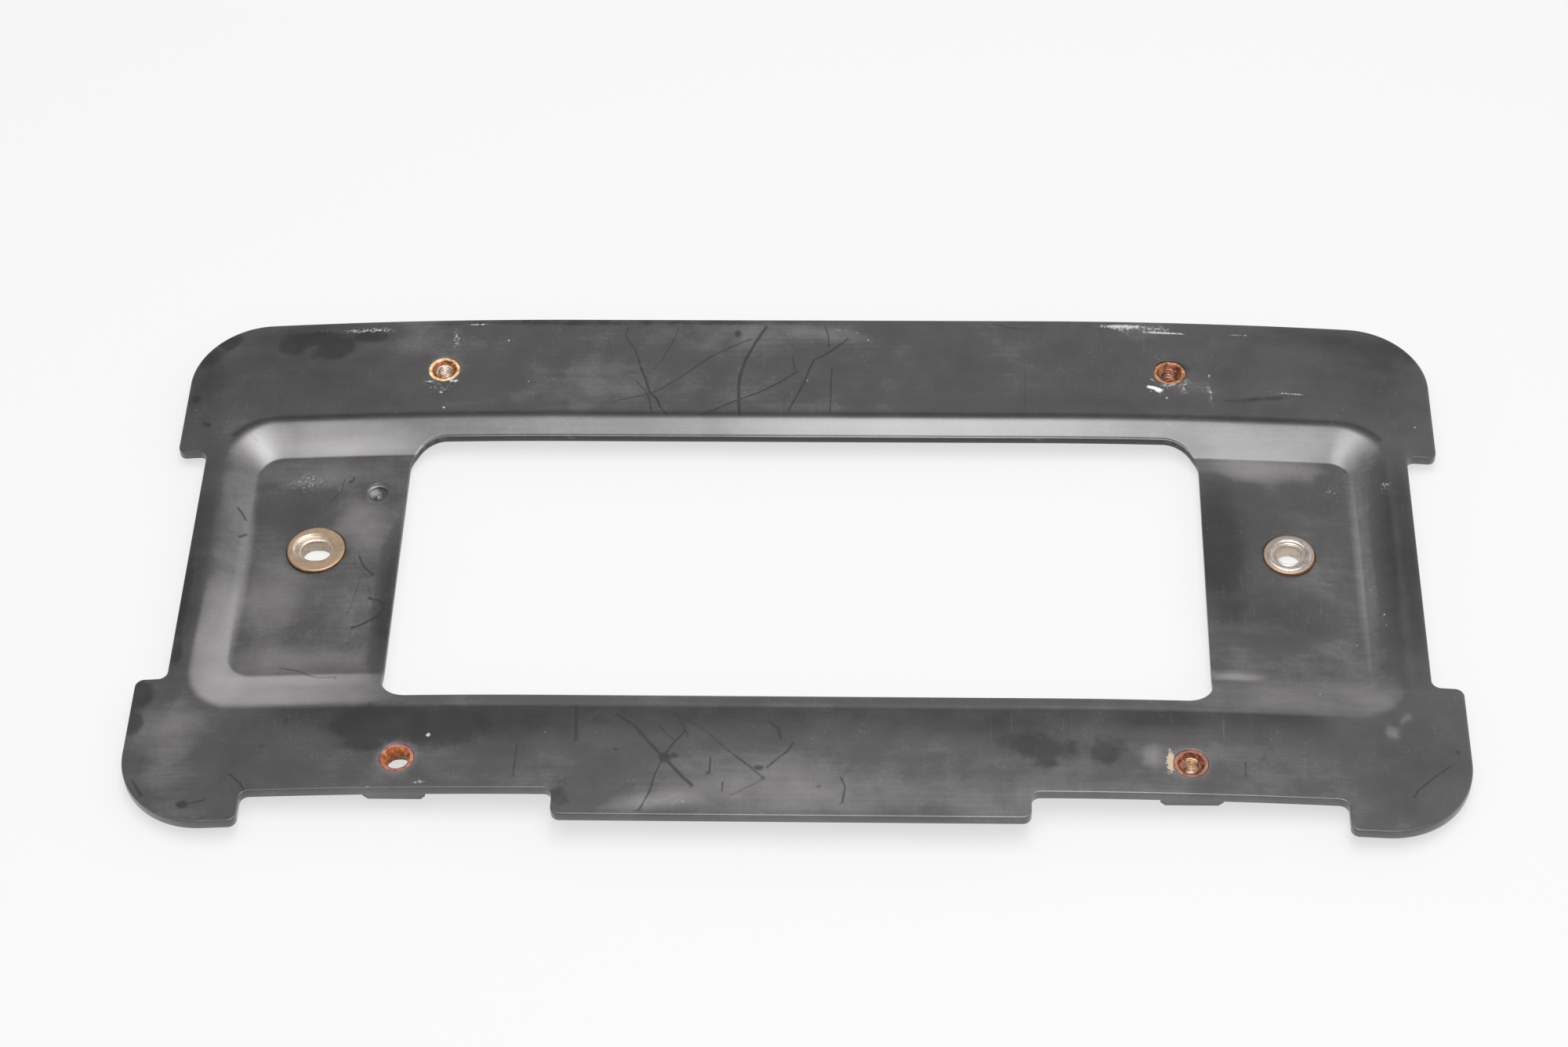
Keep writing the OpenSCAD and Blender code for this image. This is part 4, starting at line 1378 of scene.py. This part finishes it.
def thread_groove_tree():
    """Geometry nodes that cut a helical groove round the Z axis out of a bore."""
    tree = bpy.data.node_groups.new("thread groove", "GeometryNodeTree")
    face = tree.interface
    face.new_socket("Geometry", in_out="INPUT", socket_type="NodeSocketGeometry")
    for name in ("Centre", "Crest Radius", "Groove Depth", "Pitch", "Turns"):
        kind = "NodeSocketVector" if name == "Centre" else "NodeSocketFloat"
        face.new_socket(name, in_out="INPUT", socket_type=kind)
    face.new_socket("Metal", in_out="INPUT", socket_type="NodeSocketMaterial")
    face.new_socket("Geometry", in_out="OUTPUT", socket_type="NodeSocketGeometry")

    thread = Nodes(tree)
    given = {socket.name: Value(thread, socket) for socket in tree.nodes.new("NodeGroupInput").outputs}
    radius = given["Crest Radius"]
    helix = thread.node(
        "GeometryNodeCurveSpiral",
        {},
        {
            "Resolution": 40,
            "Rotations": given["Turns"],
            "Start Radius": radius,
            "End Radius": radius,
            "Height": given["Pitch"] * given["Turns"],
            "Reverse": True,
        },
    )
    upright = thread.node("GeometryNodeSetCurveNormal", {"mode": "Z_UP"}, {"Curve": helix})
    diamond = {"Resolution": 4, "Radius": given["Groove Depth"]}
    section = thread.node("GeometryNodeCurvePrimitiveCircle", {}, diamond)
    flatter = {"Geometry": section, "Scale": (1.0, 0.62, 1.0)}
    steep = thread.node("GeometryNodeTransform", {}, flatter)
    swept = {"Curve": upright, "Profile Curve": steep, "Fill Caps": True}
    groove = thread.node("GeometryNodeCurveToMesh", {}, swept)
    moved = {"Geometry": groove, "Translation": given["Centre"]}
    placed = thread.node("GeometryNodeTransform", {}, moved)
    cut = thread.node(
        "GeometryNodeMeshBoolean",
        {"operation": "DIFFERENCE", "solver": "MANIFOLD"},
        {"Mesh 1": given["Geometry"], "Mesh 2": placed},
    )
    real = thread.node("GeometryNodeRealizeInstances", {}, {"Geometry": cut})
    coated = {"Geometry": real, "Material": given["Metal"]}
    dressed = thread.node("GeometryNodeSetMaterial", {}, coated)
    thread.feed(tree.nodes.new("NodeGroupOutput").inputs["Geometry"], dressed)
    return tree


def cut_thread(piece, tree, values):
    """Runs the thread groove on a piece and keeps the result as its mesh."""
    change = piece.modifiers.new("thread", "NODES")
    change.node_group = tree
    for item in tree.interface.items_tree:
        if item.in_out == "INPUT" and item.name in values:
            change[item.identifier] = values[item.name]
    bpy.context.view_layer.update()
    made = evaluated_mesh(piece)
    piece.modifiers.clear()
    piece.data = made
    if not made.polygons:
        raise RuntimeError(f"the thread of {piece.name} came out empty")


class PLATE_OT_inserts(bpy.types.Operator):
    """Builds the four threaded inserts, each with its own rust"""

    bl_idname = "plate_holder.inserts"
    bl_label = "Threaded inserts"
    bl_options = {"REGISTER", "UNDO"}

    def execute(self, context):
        plate = in_mm(context.scene.plate_settings)
        size = in_mm(context.scene.insert_settings)
        tones = context.scene.insert_settings
        tree = thread_groove_tree()
        noise.seed_set(CRUST_SEED)
        outer, bore, mouth = size.outer_d / 2, size.bore_d / 2, size.mouth_d / 2
        deep = size.mouth_deep
        insert_z = float(BowedFace(plate).rim(size.pitch_x / 2))
        kinds = (
            ("top_left", -1, 1, "cream_insert", "cream"),
            ("top_right", 1, 1, "brown_insert", "brown"),
            ("bottom_left", -1, -1, "rusted_insert", "pink"),
            ("bottom_right", 1, -1, "red_insert", "red"),
        )
        for seed, (place, right, up, slot, rust) in enumerate(kinds):
            sunk = size.sunk if place == "top_right" else 0.0
            centre = (right * size.pitch_x / 2, up * size.pitch_y / 2, insert_z - sunk)
            metal = rust_finish(RUSTS[rust], getattr(tones, rust), centre[2])
            rusted = place == "bottom_left"
            inner = size.rusted_bore_d / 2 if rusted else bore
            bottom = -size.long + (size.rusted_loss if rusted else 0.0)
            profile = insert_profile(outer, mouth, deep, inner, bottom)
            rings = lathe_rings(profile, centre, steps=72)
            # Only the upper end and the bore are crusted: the outside sits in its seat
            upper = crusted(rings, 0.09 if rusted else 0.05, 7.0 * seed)
            for k, (radius, height) in enumerate(profile):
                if height > -deep and radius < outer - 0.05 or (rusted and radius <= mouth):
                    rings[k] = [(x, y, min(z, centre[2])) for x, y, z in upper[k]]
            if rusted:
                rings = eaten_end(rings, centre, bottom)
            piece = tube("insert_" + place + "_metal", rings, metal)
            face_outwards(piece.data)
            if not rusted:
                start = (centre[0], centre[1], centre[2] - size.thread_pitch * THREAD_TURNS)
                values = {
                    "Centre": tuple(c * MM for c in start),
                    "Crest Radius": bore * MM,
                    "Groove Depth": size.thread_depth * MM,
                    "Pitch": size.thread_pitch * MM,
                    "Turns": THREAD_TURNS,
                    "Metal": metal,
                }
                cut_thread(piece, tree, values)
            tidy_mesh(piece.data, sharp_degrees=40)
            seat_piece(piece, "insert_" + place)
        return {"FINISHED"}


# Each rust: its name, shares of its own colour that make the dark and the middle
# tone of the ring, the ring's light tone, the tones of the countersink and of the
# bore from dark to light, and how metallic the bore is
RUSTS = {
    "cream": (
        "cream crusted insert",
        [(0.55, 0.36, 0.28), (1.0, 0.85, 0.7)],
        (0.84, 0.67, 0.44),
        [(0.05, 0.012, 0.005), (0.14, 0.04, 0.016), (0.36, 0.15, 0.06)],
        [(0.19, 0.085, 0.042), (0.52, 0.34, 0.24), (0.78, 0.68, 0.60)],
        0.9,
    ),
    "brown": (
        "brown rusted insert",
        [(0.4, 0.3, 0.3), (0.95, 0.82, 0.75)],
        (0.46, 0.22, 0.12),
        [(0.035, 0.009, 0.004), (0.11, 0.03, 0.013), (0.30, 0.12, 0.055)],
        [(0.06, 0.018, 0.009), (0.22, 0.085, 0.048), (0.44, 0.24, 0.16)],
        0.8,
    ),
    "pink": (
        "pink rusted insert",
        [(0.5, 0.42, 0.4), (0.85, 0.68, 0.72)],
        (0.40, 0.17, 0.12),
        [(0.13, 0.03, 0.01), (0.33, 0.09, 0.022), (0.60, 0.24, 0.08)],
        [(0.12, 0.03, 0.01), (0.34, 0.11, 0.03), (0.56, 0.24, 0.09)],
        0.15,
    ),
    "red": (
        "red rusted insert",
        [(0.5, 0.42, 0.42), (0.82, 0.68, 0.7)],
        (0.33, 0.15, 0.11),
        [(0.035, 0.009, 0.005), (0.10, 0.028, 0.014), (0.25, 0.09, 0.05)],
        [(0.12, 0.04, 0.02), (0.42, 0.22, 0.12), (0.72, 0.50, 0.34)],
        0.6,
    ),
}


def rust_finish(rust, own, rim_z):
    """Corroded metal: its own tones on the ring, in the countersink and in the bore."""
    name, shares, light, cone_tones, bore_tones, metallic = rust
    ring_tones = [tuple(c * part for c, part in zip(own, row)) for row in shares] + [light]
    s = Shader(name)
    coarse = s.noise(620, 5, 0.65, distortion=0.5)
    fine = s.noise(2600, 4, 0.7)
    mixed = coarse * 0.7 + fine * 0.3
    ring, cone, bore = (
        s.ramp(mixed, [(0.36 + 0.11 * k, c) for k, c in enumerate(tones)])
        for tones in (ring_tones, cone_tones, bore_tones)
    )
    depth = s.axis("Z") + (coarse - 0.5) * 0.0004
    in_cone = s.step(depth, (rim_z - 0.26) * MM, (rim_z - 0.10) * MM, 1.0, 0.0)
    in_bore = s.step(depth, (rim_z - 1.1) * MM, (rim_z - 0.9) * MM, 1.0, 0.0)
    tone = s.blend(in_bore, s.blend(in_cone, ring, cone), bore)
    return s.finish(
        Base_Color=tone,
        Roughness=s.step(fine, 0.3, 0.7, 0.3, 0.6) - in_bore * 0.06,
        Metallic=in_bore * metallic + in_cone * 0.15,
        Specular_IOR_Level=0.2,
        Normal=s.bump(coarse * 0.6 + fine * 0.4, 0.00012, 0.7),
    )


# The sleeves


# Rounding of each flange's upper edge in mm
SLOT_RIM, ROUND_RIM = 0.42, 0.35
# Height in metres of the spot that the wear of a flange is measured from
WEAR_MIDDLE = 0.0037


class PLATE_OT_sleeves(bpy.types.Operator):
    """Builds the slotted and the round mounting sleeve"""

    bl_idname = "plate_holder.sleeves"
    bl_label = "Mounting sleeves"
    bl_options = {"REGISTER", "UNDO"}

    def execute(self, context):
        plate = in_mm(context.scene.plate_settings)
        size = in_mm(context.scene.sleeve_settings)
        tones = context.scene.sleeve_settings
        floor_z = float(BowedFace(plate).rim(size.pitch / 2)) - plate.pocket_d
        seat_z = floor_z + size.proud - size.flange_t
        top, steps = seat_z + size.flange_t, 96
        y = size.rise

        # Slotted sleeve, lofted from its round flange through its dish to its slot
        x, slot_x = -size.pitch / 2, -size.pitch / 2 - size.slot_shift
        flange, wall = size.slot_flange_d / 2, 2 * size.wall

        def slot(grow, z):
            """Ring of the slot, made larger all round."""
            return stadium(slot_x, y, size.slot_len + grow, size.bore_d + grow, z, steps)

        def oval(half_w, half_h, off_x, off_y, z):
            """Ring with its points on the same rays as the slot's."""
            ring = []
            off_x += x - slot_x
            for i in range(steps):
                a = 2 * math.pi * i / steps
                c, s = math.cos(a) / half_w, math.sin(a) / half_h
                u, v = off_x / half_w, off_y / half_h
                square, half = c * c + s * s, c * u + s * v
                reach = (half + math.sqrt(half * half - square * (u * u + v * v - 1))) / square
                ring.append((slot_x + reach * math.cos(a), y + reach * math.sin(a), z))
            return ring

        def disc(radius, z):
            """Ring of the round flange."""
            return oval(radius, radius, 0.0, 0.0, z)

        def dish(shrink, z):
            """Ring of the dish, made smaller all round."""
            half_w, half_h = size.dish_w / 2 - shrink, size.dish_h / 2 - shrink
            return oval(half_w, half_h, size.dish_x * (1 - shrink), size.dish_y, z)

        rings = [disc(flange, seat_z), disc(flange, seat_z + 0.3)]
        rings += [disc(radius, z) for radius, z in rounded_rim(flange, top, SLOT_RIM, 5)]
        rings += [disc(flange - 0.9, top - 0.005), dish(-0.25, top - 0.01), dish(-0.1, top - 0.02)]
        hollow = ((0.02, 0.07), (0.14, 0.2), (0.26, 0.36), (0.42, 0.46))
        throat = ((1.05, 0.55), (0.55, 0.62), (0.28, 0.7), (0.08, 0.86))
        rings += [dish(shrink, top - down) for shrink, down in hollow]
        rings += [slot(grow, top - down) for grow, down in throat]
        rings += [slot(0, top - 1.05), slot(0, top / 2), slot(0, 0.1), slot(0.2, 0.0)]
        rings += [slot(wall - 0.2, 0.0), slot(wall, 0.1), slot(wall, seat_z)]
        metal = plating_finish(BRONZE, tones.bronze, (x * MM, y * MM, WEAR_MIDDLE), flange)
        piece = tube("sleeve_left_metal", rings, metal)
        face_outwards(piece.data)
        tidy_mesh(piece.data, sharp_degrees=30)
        seat_piece(piece, "sleeve_left")

        # Round sleeve, turned: flange, bead, dish and lip round the bore
        bore, bead = size.bore_d / 2, size.bead_d / 2
        lip, bead_in, flange = bore + 0.3, size.bead_in / 2, size.round_flange_d / 2
        profile = [(bore + size.wall, seat_z), (flange, seat_z)]
        profile += rounded_rim(flange, top, ROUND_RIM, 4)
        profile += [(bead + 0.05, top - 0.02)]
        middle, half = (bead + bead_in) / 2, (bead - bead_in) / 2
        for angle in (math.pi * k / 8 for k in range(9)):
            profile.append((middle + half * math.cos(angle), top + size.bead_t * math.sin(angle) ** 0.8))
        profile += [(bead_in - 0.12, top - 0.16), (bead_in - 0.3, top - 0.3), (lip + 0.25, top - 0.34)]
        profile += [(lip + 0.1, top - 0.24), (lip, top - 0.2)]
        profile += [(bore + 0.16, top - 0.2), (bore + 0.05, top - 0.28)]
        profile += [(bore, top - 0.42), (bore, top / 2), (bore, 0.12), (bore + 0.12, 0.0)]
        profile += [(bore + size.wall - 0.12, 0.0), (bore + size.wall, 0.12)]
        rings = lathe_rings(profile, (-x, y, 0), steps)
        metal = plating_finish(SILVER, tones.silver, (-x * MM, y * MM, WEAR_MIDDLE), flange)
        piece = tube("sleeve_right_metal", rings, metal)
        face_outwards(piece.data)
        tidy_mesh(piece.data, sharp_degrees=30)
        seat_piece(piece, "sleeve_right")
        return {"FINISHED"}


# Each plating: its name, the share of its own colour on the flange, the tones of
# its side, of the rings that are rubbed bright and of the bore, and those rings as
# (lower end in mm, upper end in mm, strength)
BRONZE = (
    "tarnished bronze plating",
    0.86,
    ((0.34, 0.18, 0.09), (0.60, 0.55, 0.51), (0.40, 0.34, 0.27)),
    ((3.35, 3.55, 0.7), (3.75, 3.99, 0.9)),
)
SILVER = (
    "worn silver plating",
    0.74,
    ((0.36, 0.17, 0.09), (0.52, 0.47, 0.45), (0.58, 0.51, 0.42)),
    ((3.86, 3.98, 0.6), (4.2, 4.5, 0.9)),
)


def plating_finish(plating, own, centre, radius):
    """Worn plating: its own tone on the flange, its side, the raised rings and the bore."""
    name, part, (side_tone, bright_tone, bore_tone), bands = plating
    s = Shader(name)
    coarse, fine = s.noise(420, 5, 0.65, distortion=0.4), s.noise(2000, 4, 0.7)
    mixed = coarse * 0.65 + fine * 0.35

    def spread(rgb, low, high):
        """A tone that varies from dark to light with the noise."""
        dark, light = tuple(c * low for c in rgb), tuple(min(1.0, c * high) for c in rgb)
        return s.ramp(mixed, [(0.36, dark), (0.48, tuple(rgb)), (0.64, light)])

    depth = s.axis("Z") + (coarse - 0.5) * 0.00012
    away = s.distance(centre) + (coarse - 0.5) * 0.0004
    base, shine = spread(tuple(c * part for c in own), 0.85, 1.12), 0.0
    for low, high, share in bands:
        band = s.step(depth, (low - 0.06) * MM, low * MM)
        band = band * s.step(depth, high * MM, (high + 0.06) * MM, 1.0, 0.0)
        base = s.blend(band * share, base, spread(bright_tone, 0.72, 1.15))
        shine = band * share + shine
    bore_top = bands[0][0]
    in_bore = s.step(depth, (bore_top - 0.5) * MM, (bore_top - 0.1) * MM, 1.0, 0.0)
    base = s.blend(in_bore * 0.9, base, spread(bore_tone, 0.7, 1.2))
    at_side = s.step(away, (radius - 0.35) * MM, (radius - 0.1) * MM)
    base = s.blend(at_side * 0.85, base, spread(side_tone, 0.6, 1.3))
    return s.finish(
        Base_Color=base,
        Metallic=shine * 0.25 + 0.65,
        Roughness=s.step(fine, 0.3, 0.7, 0.30, 0.45) - shine * 0.1,
        Normal=s.bump(fine * 0.5 + coarse * 0.5, 0.00006, 0.6),
    )


# The studio


# The camera, solved from the four insert centres in the photo: sensor width and
# focal length in mm, nearest and farthest distance and place in metres, and the
# directions of its right, its up and its back
SENSOR, LENS, CLIP = 36.0, 85.115, (0.05, 20.0)
CAMERA_PLACE = (0.029002544, -0.569628920, 0.663997853)
CAMERA_AXES = (
    (0.9992816054, 0.0289070987, -0.0245082178),
    (-0.0054039472, 0.7487618121, 0.6628171287),
    (0.0375109378, -0.6622085234, 0.7483801181),
)
# Softboxes side by side overhead: name, from and to along X in metres, and radiance
SOFTBOXES = (
    ("left softbox", -0.55, -0.05, 2.0),
    ("main softbox", -0.05, 0.17, 9.0),
    ("right softbox", 0.17, 0.5, 3.4),
)
# Half the floor's width and how far it lies below the part, in mm
FLOOR_HALF, FLOOR_DROP = 3000, 0.05


class PLATE_OT_studio(bpy.types.Operator):
    """Sets up the floor, the light and the camera"""

    bl_idname = "plate_holder.studio"
    bl_label = "Studio"
    bl_options = {"REGISTER", "UNDO"}

    def execute(self, context):
        scene, studio = context.scene, context.scene.studio_settings
        scene.view_settings.view_transform = "Standard"

        corners = [
            (x * FLOOR_HALF, y * FLOOR_HALF, -FLOOR_DROP) for x, y in ((-1, -1), (1, -1), (1, 1), (-1, 1))
        ]
        finish = floor_finish(tuple(studio.floor_tone), studio.backdrop)
        floor = mesh_object("studio_floor", corners, [(0, 1, 2, 3)], finish)

        scene.world = studio_world(studio)
        depth = studio.lamp_front + studio.lamp_back
        for name, start, end, radiance in SOFTBOXES:
            lamp = bpy.data.lights.new(name, "AREA")
            lamp.shape = "RECTANGLE"
            lamp.size, lamp.size_y = end - start, depth
            lamp.energy = radiance * studio.lamp_level * math.pi * lamp.size * lamp.size_y
            lamp_object = bpy.data.objects.new(name, lamp)
            middle_y = (studio.lamp_back - studio.lamp_front) / 2
            lamp_object.location = ((start + end) / 2, middle_y, studio.lamp_z)
            scene.collection.objects.link(lamp_object)

        camera = bpy.data.cameras.new("camera")
        camera.sensor_width, camera.lens = SENSOR, LENS
        camera.clip_start, camera.clip_end = CLIP
        camera_object = bpy.data.objects.new("camera", camera)
        turn = Matrix(CAMERA_AXES).transposed().to_4x4()
        camera_object.matrix_world = Matrix.Translation(CAMERA_PLACE) @ turn
        scene.collection.objects.link(camera_object)
        scene.camera = camera_object
        return {"FINISHED"}


def studio_world(studio):
    """Surroundings that are bright near the horizon and plain white to the camera."""
    world = bpy.data.worlds.new("pale studio")
    world.use_nodes = True
    world.node_tree.nodes.clear()
    w = Nodes(world.node_tree)
    place = w.node("ShaderNodeTexCoord", {}, {}, "Generated")
    along, up = (w.node("ShaderNodeSeparateXYZ", {}, [place], axis) for axis in ("X", "Z"))
    # The bright band's upper edge leans with X, and its lower edge dips towards both ends
    leaning = along * -0.2 + up
    dipping = along * along * 0.35 + up
    rise = w.step(dipping, 0.34, 0.50, studio.sky_horizon, studio.sky_low)
    fall = w.step(leaning, 0.40, 0.68, studio.sky_low, studio.sky_high)
    level = {
        "Factor": w.node("ShaderNodeLightPath", {}, {}, "Is Camera Ray"),
        "A": rise.math("MINIMUM", rise, fall),
        "B": studio.backdrop,
    }
    strength = w.node("ShaderNodeMix", {}, level, "Result")
    sky = w.node("ShaderNodeBackground", {}, {"Strength": strength})
    w.feed(w.tree.nodes.new("ShaderNodeOutputWorld").inputs["Surface"], sky)
    return world


def floor_finish(tone, backdrop):
    """Pale matt floor; the camera sees it evened out towards the backdrop, with a light shadow."""
    s = Shader("pale studio floor")
    s.finish(Base_Color=tone, Roughness=0.9, Specular_IOR_Level=0.1)
    seen = s.node("ShaderNodeLightPath", {}, {}, "Is Camera Ray")
    mirrored = s.node("ShaderNodeLightPath", {}, {}, "Is Glossy Ray")
    ray = seen.math("MAXIMUM", seen, mirrored)
    glow = s.node("ShaderNodeEmission", {}, {"Color": (backdrop,) * 3, "Strength": 1.0})
    both = s.node("ShaderNodeMixShader", {}, {0: ray * 0.7, 1: Value(s, s.surface.outputs[0]), 2: glow})
    s.feed(s.tree.nodes["Material Output"].inputs["Surface"], both)
    return s.material


# Panel and main


class PLATE_PT_panel(bpy.types.Panel):
    """Lists the pieces of the number plate holder"""

    bl_label = "Number Plate Holder"
    bl_idname = "PLATE_PT_panel"
    bl_space_type = "VIEW_3D"
    bl_region_type = "UI"
    bl_category = "Plate Holder"

    def draw(self, context):
        for step in STEPS:
            self.layout.operator(step.bl_idname)
        for name in SETTINGS:
            box = self.layout.box()
            group = getattr(context.scene, name)
            for key in type(group).__annotations__:
                box.prop(group, key)


STEPS = (PLATE_OT_body, PLATE_OT_inserts, PLATE_OT_sleeves, PLATE_OT_studio)
SETTINGS = {
    "plate_settings": PlateSettings,
    "insert_settings": InsertSettings,
    "sleeve_settings": SleeveSettings,
    "studio_settings": StudioSettings,
}
CLASSES = (*SETTINGS.values(), *STEPS, PLATE_PT_panel)


def register():
    """Makes the settings, the operators and the panel known to Blender."""
    for kind in CLASSES:
        bpy.utils.register_class(kind)
    for name, kind in SETTINGS.items():
        setattr(bpy.types.Scene, name, PointerProperty(type=kind))


def unregister():
    """Takes them out again."""
    for name in SETTINGS:
        delattr(bpy.types.Scene, name)
    for kind in reversed(CLASSES):
        bpy.utils.unregister_class(kind)


def main():
    """Builds every piece and the studio."""
    register()
    for step in STEPS:
        group, name = step.bl_idname.split(".")
        getattr(getattr(bpy.ops, group), name)()


if __name__ == "__main__":
    main()
